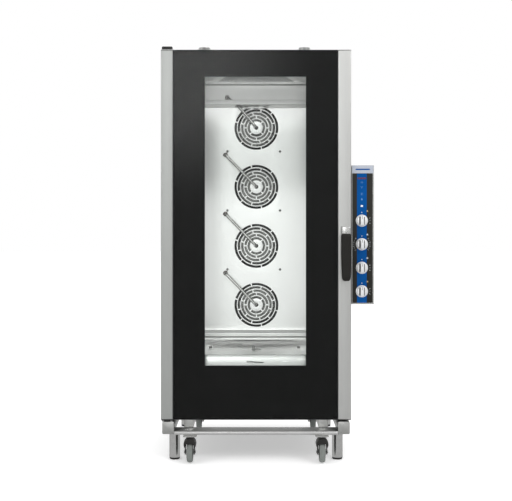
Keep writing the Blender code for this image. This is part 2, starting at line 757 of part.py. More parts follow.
def tray_racks(steel):
    """Two side panels with a ledge pressed out of them for every tray level."""
    ledge = 0.004
    for side_name, side in SIDES.items():
        inner = BODY_X + side * RACK_INNER
        face = BODY_X + side * (RACK_OUTER - 0.003)
        outside = BODY_X + side * RACK_OUTER
        outline = [(outside, RACK_BOTTOM), (face, RACK_BOTTOM)]
        for level in range(TRAY_LEVELS):
            z = RACK_BOTTOM + 0.020 + level * TRAY_PITCH
            outline += [(face, z), (inner, z), (inner, z + ledge), (face, z + ledge)]
        top = RACK_BOTTOM + TRAY_PITCH * TRAY_LEVELS
        outline += [(face, top), (outside, top)]
        mesh = prism_mesh(f"tray_rack_{side_name}", outline, "Y", RACK_FRONT, RACK_BACK)
        piece(f"tray_rack_{side_name}", mesh, steel)


# Fans, motors, heaters and water pipes


def blade_mesh():
    bm = bmesh.new()
    for index in range(BLADES):
        made = bmesh.ops.create_cube(bm, size=1)["verts"]
        bmesh.ops.scale(bm, vec=(0.064, FAN_BACK - FAN_FRONT - 0.003, 0.0025), verts=made)
        bmesh.ops.translate(bm, vec=(0.084, (FAN_FRONT + FAN_BACK) / 2, 0), verts=made)
        turn = Matrix.Rotation(radians(25), 4, "Y")
        centre = Matrix.Translation((0.052, 0, 0))
        bmesh.ops.transform(bm, matrix=centre @ turn @ centre.inverted(), verts=made)
        bmesh.ops.transform(bm, matrix=Matrix.Rotation(2 * pi * index / BLADES, 4, "Y"), verts=made)
    return to_mesh(bm, "fan_blades")


def fans(steel, motor_paint, dark_steel):
    wheel_profile = [
        (0, FAN_FRONT), (0.014, FAN_FRONT), (0.020, FAN_FRONT + 0.006), (0.020, FAN_BACK - 0.004),
        (FAN_RADIUS, FAN_BACK - 0.003), (FAN_RADIUS, FAN_BACK), (SHAFT_RADIUS, FAN_BACK),
        (SHAFT_RADIUS, SHAFT_END), (0, SHAFT_END),
    ]
    wheel = turned_mesh("fan_wheel", wheel_profile, "Y", 16)
    blades = blade_mesh()
    flange = REAR_WALL + SHEET + GAP
    bore = SHAFT_RADIUS + 0.0005
    motor_profile = [
        (0, SHAFT_END + 0.005), (bore, SHAFT_END + 0.005), (bore, flange),
        (0.055, flange), (0.055, flange + 0.005),
        (0.030, flange + 0.005), (0.030, 0.305), (MOTOR_RADIUS, 0.308), (MOTOR_RADIUS, 0.425),
        (0.048, 0.435), (0, 0.435),
    ]
    motor = turned_mesh("fan_motor", motor_profile, "Y", 12)
    for number, z in enumerate(fan_heights(), 1):
        hub = (FAN_X, 0, z)
        fan = piece(f"fan_wheel_{number}", wheel, steel, hub)
        combine(fan, "UNION", [blades])
        piece(f"fan_motor_{number}", motor, motor_paint, hub)
        ring_heater(number, z, dark_steel)


def ring_heater(number, z, look):
    """A heating rod bent round the fan, with both ends turned back to the rear wall."""
    y = (FAN_FRONT + FAN_BACK) / 2
    open_half = radians(9)
    count = 16
    arc = []
    for index in range(count + 1):
        angle = -pi / 2 + open_half + (2 * pi - 2 * open_half) * index / count
        arc.append((FAN_X + HEATER_RADIUS * cos(angle), y, z + HEATER_RADIUS * sin(angle)))
    wall = REAR_WALL - GAP
    first = (arc[0][0], wall, arc[0][2])
    last = (arc[-1][0], wall, arc[-1][2])
    rod(f"ring_heater_{number}", [first, *arc, last], HEATER_ROD, look)


def injection_pipes(steel):
    """Each pipe leaves the rear wall, runs down in front of the deflector and hooks into its grille."""
    wall = REAR_WALL - GAP
    for number, z in enumerate(fan_heights(), 1):
        root_x = FAN_X + PIPE_OFFSET[0]
        root_z = z + PIPE_OFFSET[1]
        start = [(root_x, wall, root_z), (root_x, PIPE_FRONT, root_z)]
        if number == 1:
            start = [
                (TOP_PIPE_ROOT[0], wall, TOP_PIPE_ROOT[1]),
                (TOP_PIPE_ROOT[0], wall - 0.020, TOP_PIPE_ROOT[1]),
                (NOTCH_X, 0.138, 1.641),
            ]
        end = [(FAN_X - 0.004, PIPE_FRONT, z + 0.004), (FAN_X, 0.174, z)]
        rod(f"injection_pipe_{number}", rounded_path(start + end, 0.016), PIPE_RADIUS, steel, 2)


# Controls


def controls(housing_paint, fascia_paint, chrome):
    side_panel = BODY_X + BODY_HALF_WIDTH + GAP
    behind_door = BODY_FRONT - 0.004
    outline = [
        (CONTROL_LEFT, CONTROL_FRONT), (CONTROL_RIGHT, CONTROL_FRONT), (CONTROL_RIGHT, CONTROL_BACK),
        (side_panel, CONTROL_BACK), (side_panel, behind_door), (CONTROL_LEFT, behind_door),
    ]
    shell = prism_mesh("control_housing", outline, "Z", *CONTROL_Z)
    housing = piece("control_housing", shell, housing_paint)
    hollow = box_mesh(
        "control_space",
        (CONTROL_LEFT + SHEET, CONTROL_FRONT - 0.01, CONTROL_Z[0] + SHEET),
        (CONTROL_RIGHT - SHEET, CONTROL_BACK - SHEET, CONTROL_Z[1] - SHEET),
    )
    combine(housing, "DIFFERENCE", [hollow])
    heights = [TOP_KNOB_Z - KNOB_PITCH * index for index in range(4)]
    holes = [circle(KNOB_X, z, KNOB_SHAFT_RADIUS + 0.0005, 8) for z in heights]
    front = CONTROL_FRONT - GAP - FASCIA
    outline = rectangle(CONTROL_LEFT, CONTROL_Z[0], CONTROL_RIGHT, CONTROL_Z[1])
    fascia = plate_mesh("control_fascia", outline, holes, "Y", front, front + FASCIA)
    piece("control_fascia", fascia, fascia_paint)
    face = front - 0.0008
    profile = [
        (0, face - 0.016), (0.0205, face - 0.016), (0.0225, face - 0.014), (0.0235, face - 0.005),
        (KNOB_RADIUS, face - 0.003), (KNOB_RADIUS, face), (KNOB_SHAFT_RADIUS, face),
        (KNOB_SHAFT_RADIUS, face + 0.030), (0, face + 0.030),
    ]
    knob = turned_mesh("control_knob", profile, "Y", 16)
    for number, z in enumerate(heights, 1):
        made = piece(f"control_knob_{number}", knob, chrome, (KNOB_X, 0, z))
        bar = box_mesh("knob_bar", (-0.0075, face - 0.026, -0.0215), (0.0075, face - 0.012, 0.0215))
        combine(made, "UNION", [bar])


# Door


def hinges(paint):
    """Top and bottom hinge brackets: an arm on the body, and a pin standing in the door's left profile."""
    arm_x = (DOOR_LEFT + 0.002, DOOR_LEFT + 0.052)
    arm_front = DOOR_FRONT + 0.006
    top_arm = box_mesh(
        "hinge_top_arm", (arm_x[0], arm_front, CASING_TOP + GAP), (arm_x[1], BODY_FRONT + 0.040, TOP_ARM_Z)
    )
    block = box_mesh(
        "hinge_top_block", (arm_x[0] + 0.001, DOOR_FRONT + 0.010, TOP_ARM_Z - 0.001),
        (arm_x[1] - 0.001, DOOR_BACK - 0.004, HINGE_BLOCK_TOP),
    )
    pin_z = (DOOR_TOP - HINGE_PIN_REACH, TOP_ARM_Z - 0.001)
    top_pin = round_mesh("hinge_top_pin", HINGE_PIN_RADIUS, "Z", *pin_z)
    top = piece("hinge_top", top_arm, paint)
    combine(top, "UNION", [block, shifted(top_pin, (HINGE_X, HINGE_Y, 0))])
    low_z = BEAM_Z[1] + 0.0005
    bottom_arm = box_mesh(
        "hinge_bottom_arm", (arm_x[0], arm_front, low_z), (arm_x[1], BODY_FRONT - GAP, DOOR_BOTTOM - 0.0007)
    )
    pin_z = (low_z + 0.0015, DOOR_BOTTOM + HINGE_PIN_REACH)
    bottom_pin = round_mesh("hinge_bottom_pin", HINGE_PIN_RADIUS, "Z", *pin_z)
    bottom = piece("hinge_bottom", bottom_arm, paint)
    combine(bottom, "UNION", [shifted(bottom_pin, (HINGE_X, HINGE_Y, 0))])


def door(aluminium, steel, glass):
    assembly = empty("door_assembly", (HINGE_X, HINGE_Y, 0))
    hinge = assembly.location
    glass_left = DOOR_LEFT + LEFT_PROFILE_WIDTH + GAP
    glass_right = DOOR_RIGHT - RIGHT_PROFILE_WIDTH - GAP
    profile_spans = {"left": (DOOR_LEFT, glass_left - GAP), "right": (glass_right + GAP, DOOR_RIGHT)}
    wall = PROFILE_WALL
    for side_name, (low, high) in profile_spans.items():
        bm = bmesh.new()
        outline = rectangle(low - hinge.x, DOOR_FRONT - hinge.y, high - hinge.x, DOOR_BACK - hinge.y)
        inside = rectangle(
            low + wall - hinge.x, DOOR_FRONT + wall - hinge.y,
            high - wall - hinge.x, DOOR_BACK - wall - hinge.y,
        )
        rings = []
        for loop in (outline, inside):
            for z in (DOOR_BOTTOM, DOOR_TOP):
                rings.append([bm.verts.new((x, y, z)) for x, y in loop])
        outer_low, outer_high, inner_low, inner_high = rings
        for near, far in (
            (outer_low, outer_high), (outer_high, inner_high),
            (inner_high, inner_low), (inner_low, outer_low),
        ):
            for i in range(4):
                bm.faces.new((near[i - 1], near[i], far[i], far[i - 1]))
        name = f"door_profile_{side_name}"
        profile = piece(name, to_mesh(bm, name), aluminium, hinge, assembly)
        if side_name == "right":
            hole = round_mesh("spindle_hole", SPINDLE_RADIUS + 0.0005, "Y", -0.1, 0.1, 12)
            combine(profile, "DIFFERENCE", [shifted(hole, (HANDLE_X - hinge.x, 0, HANDLE_Z))])
    glass_front = DOOR_FRONT + 0.0005
    pan_front = glass_front + OUTER_GLASS + GAP
    inner_glass_back = DOOR_BACK - 0.001
    inner_glass_front = inner_glass_back - INNER_GLASS
    bottom = DOOR_BOTTOM + 0.001
    top = DOOR_TOP - 0.001
    outer_pane = box_mesh(
        "door_outer_glass", (glass_left, glass_front, bottom), (glass_right, pan_front - GAP, top)
    )
    inner_pane = box_mesh(
        "door_inner_glass", (glass_left + 0.002, inner_glass_front, bottom + 0.002),
        (glass_right - 0.002, inner_glass_back, top - 0.002),
    )
    for name, pane in (("door_outer_glass", outer_pane), ("door_inner_glass", inner_pane)):
        piece(name, shifted(pane, -hinge), glass, hinge, assembly)
    pan_back = inner_glass_front - GAP
    section = [
        ("inner", 0, pan_front), ("outer", 0, pan_front), ("outer", 0, pan_back),
        ("outer", -SHEET, pan_back), ("outer", -SHEET, pan_front + SHEET),
        ("inner", SHEET, pan_front + SHEET), ("inner", SHEET, pan_back), ("inner", 0, pan_back),
    ]
    window = (WINDOW_X[0], WINDOW_Z[0], WINDOW_X[1], WINDOW_Z[1])
    edge = (glass_left, bottom, glass_right, top)
    pan = window_frame_mesh("door_frame", window, edge, section)
    piece("door_frame", shifted(pan, -hinge), steel, hinge, assembly)
    return assembly


def handle(assembly, metal, plastic):
    pivot = Vector((HANDLE_X, 0, HANDLE_Z))
    ring = [
        (SPINDLE_RADIUS + 0.0005, DOOR_FRONT - GAP), (0.020, DOOR_FRONT - GAP), (0.020, DOOR_FRONT - 0.012),
        (0.017, DOOR_FRONT - 0.014), (SPINDLE_RADIUS + 0.0005, DOOR_FRONT - 0.014),
    ]
    boss = turned_mesh("handle_boss", ring, "Y", 16, closed=True)
    piece("handle_boss", boss, metal, pivot, assembly)
    half = GRIP_WIDTH / 2
    low = -HANDLE_LENGTH
    foot_half = 0.019
    outline = [(half * cos(a), half * sin(a)) for a in [pi * step / 8 for step in range(9)]]
    outline += [(-half, -0.150), (-foot_half, low + foot_half)]
    outline += [
        (foot_half * cos(a), low + foot_half + foot_half * sin(a))
        for a in [pi + pi * step / 6 for step in range(1, 6)]
    ]
    outline += [(foot_half, low + foot_half), (half, -0.150)]
    lever_back = DOOR_FRONT - 0.030
    grip = prism_mesh("door_handle", outline, "Y", HANDLE_FRONT, lever_back, smooth=True)
    lever = piece("door_handle", grip, plastic, pivot, assembly)
    spindle_end = BODY_FRONT + 0.014
    hub = round_mesh("handle_hub", 0.018, "Y", lever_back - 0.002, DOOR_FRONT - 0.0145, 12)
    spindle = round_mesh("handle_spindle", SPINDLE_RADIUS, "Y", lever_back - 0.002, spindle_end, 12)
    cam = box_mesh(
        "latch_cam", (-0.0055, spindle_end - 0.008, -LATCH_REACH), (0.0055, spindle_end, LATCH_REACH)
    )
    combine(lever, "UNION", [hub, spindle, cam])


def main():
    clear_scene()
    stainless = material("stainless_steel", (0.62, 0.63, 0.63), 0.32, 1.0)
    cavity_steel = material("cavity_steel", (0.80, 0.80, 0.79), 0.25, 1.0)
    dark_steel = material("dark_steel", (0.12, 0.12, 0.12), 0.45, 1.0)
    aluminium = material("satin_aluminium", (0.66, 0.67, 0.66), 0.35, 1.0)
    black_steel = material("black_steel", (0.02, 0.02, 0.02), 0.30, 0.0)
    glass = material("clear_glass", (0.90, 0.95, 0.95), 0.03, 0.0, alpha=0.2)
    black_plastic = material("black_plastic", (0.02, 0.02, 0.02), 0.45, 0.0)
    castor_rubber = material("castor_rubber", (0.16, 0.17, 0.16), 0.60, 0.0)
    silicone = material("silicone_seal", (0.05, 0.05, 0.05), 0.70, 0.0)
    motor_paint = material("motor_paint", (0.25, 0.26, 0.28), 0.45, 0.4)
    graphite = material("graphite_fascia", (0.04, 0.04, 0.035), 0.35, 0.0)
    chrome = material("chromed_knob", (0.85, 0.86, 0.88), 0.15, 1.0)

    base_frame(stainless)
    feet(black_plastic)
    castors(black_plastic, castor_rubber)
    casing(stainless)
    front_frame(stainless)
    door_seal(silicone)
    chimneys(stainless)
    water_valve(black_plastic)
    cavity(cavity_steel)
    fan_deflector(cavity_steel)
    tray_racks(stainless)
    fans(stainless, motor_paint, dark_steel)
    injection_pipes(stainless)
    controls(stainless, graphite, chrome)
    hinges(black_plastic)
    assembly = door(aluminium, black_steel, glass)
    handle(assembly, aluminium, black_plastic)


main()
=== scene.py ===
"""Combi steamer oven: detailed pieces, materials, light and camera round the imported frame."""

import json
from math import cos, pi, radians, sin

import bmesh
import bpy
from mathutils import Matrix, Vector


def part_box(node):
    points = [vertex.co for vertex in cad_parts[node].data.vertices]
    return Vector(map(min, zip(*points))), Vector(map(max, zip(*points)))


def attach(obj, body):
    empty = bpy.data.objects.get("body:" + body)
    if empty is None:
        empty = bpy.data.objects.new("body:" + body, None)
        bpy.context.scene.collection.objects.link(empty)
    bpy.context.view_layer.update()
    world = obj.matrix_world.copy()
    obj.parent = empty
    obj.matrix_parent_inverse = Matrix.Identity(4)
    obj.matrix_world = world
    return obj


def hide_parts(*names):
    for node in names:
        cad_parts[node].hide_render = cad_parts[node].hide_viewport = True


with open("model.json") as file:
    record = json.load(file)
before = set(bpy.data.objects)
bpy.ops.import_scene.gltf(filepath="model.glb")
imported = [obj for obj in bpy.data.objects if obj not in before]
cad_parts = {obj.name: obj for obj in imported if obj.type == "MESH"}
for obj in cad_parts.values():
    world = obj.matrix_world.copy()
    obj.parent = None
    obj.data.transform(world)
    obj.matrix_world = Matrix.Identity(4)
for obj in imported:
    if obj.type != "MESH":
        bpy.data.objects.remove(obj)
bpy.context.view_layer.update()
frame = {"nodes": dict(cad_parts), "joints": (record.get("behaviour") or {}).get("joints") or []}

JOINTS = {joint["name"]: joint for joint in frame["joints"]}
FANS = [Vector(JOINTS[f"fan_{number}_spin"]["pos_m"]) for number in range(1, 5)]
CORNERS = [f"{end}_{side}" for end in ("front", "rear") for side in ("left", "right")]
GAP = 0.0003

LID_LOW, LID_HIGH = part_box("top_panel")
BODY_X = (LID_LOW.x + LID_HIGH.x) / 2
DOOR_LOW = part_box("door_profile_left")[0]
GLASS_LOW, GLASS_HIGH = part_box("door_outer_glass")


# ---------------------------------------------------------------- materials


def node_tree(name):
    made = bpy.data.materials.new(name)
    made.use_nodes = True
    tree = made.node_tree
    return made, tree, tree.nodes["Principled BSDF"]


def node(tree, kind, **settings):
    """A shader node; each setting is an input's name, with an underscore for a space."""
    made = tree.nodes.new(f"ShaderNode{kind}")
    for name, value in settings.items():
        made.inputs[name.replace("_", " ")].default_value = value
    return made


def noise_of(tree, stretch, detail=4.0):
    """Noise in the object's own coordinates, stretched by a scale for each axis."""
    place = node(tree, "TexCoord")
    mapping = node(tree, "Mapping", Scale=stretch)
    noise = node(tree, "TexNoise", Scale=1.0, Detail=detail, Roughness=0.6)
    tree.links.new(place.outputs["Object"], mapping.inputs["Vector"])
    tree.links.new(mapping.outputs["Vector"], noise.inputs["Vector"])
    return noise.outputs["Fac"]


def ranged(tree, value, low, high):
    """Maps the middle of a noise value to low..high."""
    made = node(tree, "MapRange", From_Min=0.3, From_Max=0.7, To_Min=low, To_Max=high)
    tree.links.new(value, made.inputs["Value"])
    return made.outputs["Result"]


def mixed(tree, factor, first, second, blend="MIX"):
    made = node(tree, "Mix")
    made.data_type = "RGBA"
    made.blend_type = blend
    for socket, value in ((made.inputs[6], first), (made.inputs[7], second)):
        if isinstance(value, tuple):
            socket.default_value = (*value, 1.0)
        else:
            tree.links.new(value, socket)
    if isinstance(factor, float):
        made.inputs[0].default_value = factor
    else:
        tree.links.new(factor, made.inputs[0])
    return made.outputs[2]


def tinted(tree, value, colour, contrast):
    """The colour, a little darker and lighter with the noise value."""
    dark = tuple(part * (1 - contrast) for part in colour)
    light = tuple(min(1.0, part * (1 + contrast)) for part in colour)
    return mixed(tree, ranged(tree, value, 0.0, 1.0), dark, light)


def bumped(tree, shader, value, strength, distance=0.001):
    bump = node(tree, "Bump", Strength=strength, Distance=distance)
    tree.links.new(value, bump.inputs["Height"])
    tree.links.new(bump.outputs["Normal"], shader.inputs["Normal"])


def brushed(name, colour, roughness, grain, contrast=0.06, bump=0.05, metallic=1.0):
    """Metal with fine brush lines along the axis with the small grain scale, and broad cloudy tones."""
    made, tree, shader = node_tree(name)
    lines = noise_of(tree, grain)
    clouds = noise_of(tree, (2.5, 2.5, 1.6), 2.0)
    streaks = tinted(tree, lines, colour, contrast)
    shade = (1 - contrast * 1.2,) * 3
    soft = mixed(tree, ranged(tree, clouds, 0.0, 1.0), shade, (1.0, 1.0, 1.0))
    tree.links.new(mixed(tree, 1.0, streaks, soft, "MULTIPLY"), shader.inputs["Base Color"])
    tree.links.new(ranged(tree, lines, roughness * 0.82, roughness * 1.2), shader.inputs["Roughness"])
    shader.inputs["Metallic"].default_value = metallic
    bumped(tree, shader, lines, bump)
    return made


def moulded(name, colour, roughness, grain=900.0, contrast=0.12, bump=0.12, metallic=0.0, specular=0.5):
    """Plastic, rubber or paint with a fine texture, patchy gloss and slightly uneven colour."""
    made, tree, shader = node_tree(name)
    fine = noise_of(tree, (grain, grain, grain), 2.0)
    patches = noise_of(tree, (14.0, 14.0, 14.0), 3.0)
    tree.links.new(tinted(tree, patches, colour, contrast), shader.inputs["Base Color"])
    tree.links.new(ranged(tree, patches, roughness * 0.88, roughness * 1.12), shader.inputs["Roughness"])
    shader.inputs["Metallic"].default_value = metallic
    shader.inputs["Specular IOR Level"].default_value = specular
    bumped(tree, shader, fine, bump, 0.0002)
    return made


def pane_glass(name):
    """Clear float glass: light passes straight through, with a reflection that grows at grazing angles."""
    made, tree, _ = node_tree(name)
    clear = node(tree, "BsdfTransparent", Color=(0.985, 0.992, 0.988, 1.0))
    fresnel = node(tree, "Fresnel", IOR=1.14)
    blend = node(tree, "MixShader")
    smudges = noise_of(tree, (9.0, 9.0, 7.0), 5.0)
    glossy = node(tree, "BsdfGlossy", Color=(1.0, 1.0, 1.0, 1.0))
    tree.links.new(ranged(tree, smudges, 0.02, 0.07), glossy.inputs["Roughness"])
    tree.links.new(fresnel.outputs["Fac"], blend.inputs["Fac"])
    tree.links.new(clear.outputs["BSDF"], blend.inputs[1])
    tree.links.new(glossy.outputs["BSDF"], blend.inputs[2])
    tree.links.new(blend.outputs["Shader"], tree.nodes["Material Output"].inputs["Surface"])
    return made


VERTICAL = (420.0, 420.0, 9.0)
SIDEWAYS = (9.0, 9.0, 420.0)
LENGTHWAYS = (420.0, 9.0, 420.0)
STAINLESS = brushed("stainless_vertical_grain", (0.56, 0.565, 0.56), 0.30, VERTICAL)
STAINLESS_ACROSS = brushed("stainless_cross_grain", (0.56, 0.565, 0.56), 0.30, SIDEWAYS)
STAINLESS_LENGTH = brushed("stainless_long_grain", (0.54, 0.545, 0.53), 0.32, LENGTHWAYS)
CAVITY = brushed("cavity_bright_steel", (0.80, 0.795, 0.79), 0.34, VERTICAL, 0.015, 0.003)
BAFFLE = brushed("ceiling_baffle_steel", (0.42, 0.425, 0.42), 0.34, SIDEWAYS, 0.04, 0.01)
# lighter copy of the cavity steel: painted highlight on the deflector's top slope and the ceiling baffle's
# edges
PAINTED_HIGHLIGHT_STEEL = brushed("bright_folded_edge", (0.94, 0.94, 0.93), 0.30, SIDEWAYS, 0.02, 0.01)
BRIGHT_STAINLESS = brushed("bright_cross_grain", (0.82, 0.82, 0.81), 0.30, SIDEWAYS, 0.05, 0.03)
# darker copy of the cavity steel: painted shade on the deflector's lower slope faces and top lip
PAINTED_SHADE_STEEL = brushed("dull_folded_steel", (0.58, 0.58, 0.575), 0.42, SIDEWAYS, 0.015, 0.002)
PIPE_STEEL = brushed("water_pipe_steel", (0.60, 0.60, 0.585), 0.24, (60.0, 60.0, 60.0), 0.05, 0.02)
# dull grey steel for screws and floor clips; also the dark strips of painted shade under the deflector and
# along the ceiling's rear crease
DULL_STEEL_AND_SHADE = brushed("dull_screw_steel", (0.22, 0.22, 0.215), 0.40, (500.0, 500.0, 500.0), 0.10, 0.05)
CAVITY_FLOOR = brushed("cavity_floor_steel", (0.88, 0.88, 0.87), 0.42, SIDEWAYS, 0.03, 0.008)
SILL = brushed("polished_front_steel", (0.86, 0.86, 0.85), 0.24, SIDEWAYS, 0.03, 0.005, 0.6)
SPIN_STEEL = brushed("polished_tube_steel", (0.66, 0.66, 0.65), 0.16, (60.0, 60.0, 60.0), 0.05, 0.02)
# near-black steel for the impellers: painted shade of the fan chamber behind the grille
FAN_SHADE_STEEL = brushed("fan_steel", (0.075, 0.075, 0.074), 0.42, (90.0, 90.0, 90.0), 0.15, 0.03)
DISC_STEEL = brushed("fan_disc_steel", (0.30, 0.30, 0.29), 0.38, (90.0, 90.0, 90.0), 0.08, 0.03)
ALUMINIUM = brushed("satin_anodised_aluminium", (0.51, 0.525, 0.51), 0.38, (900.0, 900.0, 14.0), 0.04, 0.02)
# lighter copy of the same aluminium: painted light on the right door profile, the left one kept darker
LIT_SIDE_ALUMINIUM = brushed(
    "pale_anodised_aluminium", (0.63, 0.635, 0.62), 0.38, (900.0, 900.0, 14.0), 0.03, 0.02,
)
BRIGHT_ALUMINIUM = brushed("bright_aluminium", (0.62, 0.625, 0.61), 0.24, (300.0, 300.0, 300.0), 0.04, 0.03)
SCREW_STEEL = brushed("screw_steel", (0.50, 0.50, 0.49), 0.28, (500.0, 500.0, 500.0), 0.08, 0.05)
HEATER = brushed("heat_tinted_rod", (0.16, 0.13, 0.12), 0.45, (80.0, 80.0, 80.0), 0.25, 0.10)
BRASS = brushed("brass_fitting", (0.62, 0.44, 0.18), 0.28, (200.0, 200.0, 200.0), 0.08, 0.05)
SILVER = brushed("silver_knob_finish", (0.82, 0.83, 0.84), 0.34, (240.0, 240.0, 240.0), 0.03, 0.02, 0.5)
GLASS = pane_glass("clear_float_glass")
ENAMEL = moulded("black_glass_enamel", (0.004, 0.004, 0.004), 0.22, 60.0, 0.25, 0.01, specular=0.1)
BLACK = moulded("black_satin_plastic", (0.014, 0.0135, 0.0125), 0.42, specular=0.35)
GRIP = moulded("black_grip_plastic", (0.011, 0.0102, 0.0088), 0.40, 1300.0, 0.15, 0.12, specular=0.22)
TYRE = moulded("grey_castor_rubber", (0.165, 0.178, 0.168), 0.62, 500.0, 0.18, 0.25)
SILICONE = moulded("silicone_gasket", (0.022, 0.022, 0.023), 0.58, 700.0, 0.2, 0.15)
MOTOR = moulded("motor_paint", (0.10, 0.11, 0.12), 0.45, 300.0, 0.15, 0.15, 0.3)
GRAPHITE = moulded("graphite_film", (0.014, 0.0135, 0.011), 0.40, 1500.0, 0.10, 0.04, specular=0.25)
BLUE = moulded("blue_film", (0.001, 0.066, 0.255), 0.45, 1500.0, 0.06, 0.03, specular=0.05)
HEADER = moulded("pale_header_film", (0.40, 0.43, 0.49), 0.40, 1500.0, 0.04, 0.03, specular=0.3)
# dark grey inlays for the knob grooves: painted shade in the recesses beside the grip bar
KNOB_GROOVE_SHADE = moulded("knob_groove_grey", (0.085, 0.083, 0.080), 0.50, 900.0, 0.15, 0.05, specular=0.2)
WHITE = moulded("white_print", (0.75, 0.78, 0.82), 0.45, 1500.0, 0.04, 0.03)
PALE_BLUE = moulded("pale_blue_print", (0.10, 0.24, 0.50), 0.45, 1500.0, 0.06, 0.03, specular=0.1)
AMBER = moulded("amber_print", (0.55, 0.36, 0.14), 0.45, 1500.0, 0.04, 0.03)
RED = moulded("red_lens", (0.075, 0.020, 0.07), 0.30, 400.0, 0.10, 0.02)
# near-black blocks in the louvre gaps: painted shade where the casing's inside is dark
LOUVRE_SHADE = moulded("dark_gap", (0.006, 0.006, 0.006), 0.8, 300.0, 0.2, 0.05)


# ---------------------------------------------------------------- mesh helpers


def in_plane(axis, across, up, along):
    if axis == "X":
        return Vector((along, across, up))
    if axis == "Y":
        return Vector((across, along, up))
    return Vector((across, up, along))


def loft(bm, rings, caps=True, closed=False):
    """Faces between rings of equal length; caps fill the two end rings."""
    made = [[bm.verts.new(point) for point in ring] for ring in rings]
    count = len(made[0])
    pairs = list(zip(made, made[1:]))
    if closed:
        pairs.append((made[-1], made[0]))
    for near, far in pairs:
        for i in range(count):
            bm.faces.new((near[i - 1], near[i], far[i], far[i - 1]))
    if caps and not closed:
        bm.faces.new(made[0])
        bm.faces.new(made[-1])


def turned(bm, profile, centre, axis="Z", segments=48, closed=False):
    """Spins (radius, distance) points round the axis through centre; distances are absolute."""
    centre = Vector(centre)
    rings = []
    for radius, along in profile:
        ring = []
        for step in range(segments):
            angle = 2 * pi * step / segments
            across, up = radius * cos(angle), radius * sin(angle)
            if axis == "X":
                ring.append((along, centre.y + across, centre.z + up))
            elif axis == "Y":
                ring.append((centre.x + across, along, centre.z + up))
            else:
                ring.append((centre.x + across, centre.y + up, along))
        rings.append(ring)
    loft(bm, rings, closed=closed)


def circle(x, y, radius, count=28):
    """Points of a circle in 2-D."""
    angles = [2 * pi * step / count for step in range(count)]
    return [(x + radius * cos(angle), y + radius * sin(angle)) for angle in angles]


def round_outline(low, high, corner, steps=4):
    """A rectangle between two 2-D corners with rounded corners."""
    corner = min(corner, (high[0] - low[0]) / 2 - 1e-5, (high[1] - low[1]) / 2 - 1e-5)
    points = []
    centres = (
        (high[0] - corner, high[1] - corner, 0), (low[0] + corner, high[1] - corner, 1),
        (low[0] + corner, low[1] + corner, 2), (high[0] - corner, low[1] + corner, 3),
    )
    for x, y, quarter in centres:
        for step in range(steps + 1):
            angle = (quarter + step / steps) * pi / 2
            points.append((x + corner * cos(angle), y + corner * sin(angle)))
    return points


def about(middle, half):
    return middle - half, middle + half


def soft_block(bm, xs, ys, zs, axis="Y", corner=0.004, edge=0.0015, steps=3):
    """A block between pairs of x, y and z: rounded corners seen along the axis, rounded end edges."""
    xs, ys, zs = sorted(xs), sorted(ys), sorted(zs)
    across, up, (start, end) = {"X": (ys, zs, xs), "Y": (xs, zs, ys), "Z": (xs, ys, zs)}[axis]
    edge = min(edge, (end - start) / 2.2)
    angles = [step / steps * pi / 2 for step in range(steps + 1)]
    stations = [(edge * (1 - sin(a)), start + edge * (1 - cos(a))) for a in angles]
    stations += [(edge * (1 - sin(a)), end - edge * (1 - cos(a))) for a in reversed(angles)]
    rings = []
    for inset, along in stations:
        low = (across[0] + inset, up[0] + inset)
        high = (across[1] - inset, up[1] - inset)
        outline = round_outline(low, high, max(corner - inset, 0.0002))
        rings.append([in_plane(axis, *point, along) for point in outline])
    loft(bm, rings)


def prism(bm, outline, axis, start, end):
    loft(bm, [[in_plane(axis, a, b, along) for a, b in outline] for along in (start, end)])


def mitred_ring(bm, inner, outer, section):
    """A rectangular ring in XZ: rectangles are (x0, z0, x1, z1), section points (which, offset, y)."""
    rings = []
    for x_end, z_end in ((0, 1), (2, 1), (2, 3), (0, 3)):
        ring = []
        for which, offset, y in section:
            bounds = inner if which == "inner" else outer
            x = bounds[x_end] + (offset if x_end == 2 else -offset)
            z = bounds[z_end] + (offset if z_end == 3 else -offset)
            ring.append((x, y, z))
        rings.append(ring)
    loft(bm, rings, closed=True)


def rounded_path(points, radius, steps=6):
    points = [Vector(point) for point in points]
    path = [points[0]]
    for before, corner, after in zip(points, points[1:], points[2:]):
        reach = min(radius, (before - corner).length * 0.48, (after - corner).length * 0.48)
        start = corner + (before - corner).normalized() * reach
        end = corner + (after - corner).normalized() * reach
        for step in range(steps + 1):
            t = step / steps
            path.append(start * (1 - t) ** 2 + corner * 2 * t * (1 - t) + end * t**2)
    path.append(points[-1])
    return path


def tube(bm, path, radius, sides=20, closed=False):
    """A round tube swept along the path with its rings kept from twisting."""
    path = [Vector(point) for point in path]
    count = len(path)
    normal = None
    rings = []
    for index, point in enumerate(path):
        before = path[index - 1] if closed or index else point
        after = path[(index + 1) % count] if closed or index < count - 1 else point
        along = (after - before).normalized()
        if normal is None:
            normal = along.orthogonal().normalized()
        normal = (normal - along * normal.dot(along)).normalized()
        side = along.cross(normal)
        angles = [2 * pi * step / sides for step in range(sides)]
        rings.append([point + normal * radius * cos(a) + side * radius * sin(a) for a in angles])
    loft(bm, rings, closed=closed)


def screw_head(bm, centre, facing, radius=0.0045):
    """A round screw head with a recess, standing on a face that looks along facing."""
    profile = [
        (radius, 0), (radius, radius * 0.30), (radius * 0.85, radius * 0.50),
        (radius * 0.45, radius * 0.56),
        (radius * 0.38, radius * 0.20), (radius * 0.05, radius * 0.15),
    ]
    turn = Vector((0, 0, 1)).rotation_difference(Vector(facing)).to_matrix().to_4x4()
    place = Matrix.Translation(Vector(centre)) @ turn
    rings = []
    for ring_radius, along in profile:
        rings.append([place @ Vector((x, y, along)) for x, y in circle(0, 0, ring_radius, 18)])
    loft(bm, rings)


def round_edges(obj, width, angle):
    modifier = obj.modifiers.new("edges", "BEVEL")
    modifier.width = width
    modifier.segments = 2
    modifier.limit_method = "ANGLE"
    modifier.angle_limit = radians(angle)
    return modifier


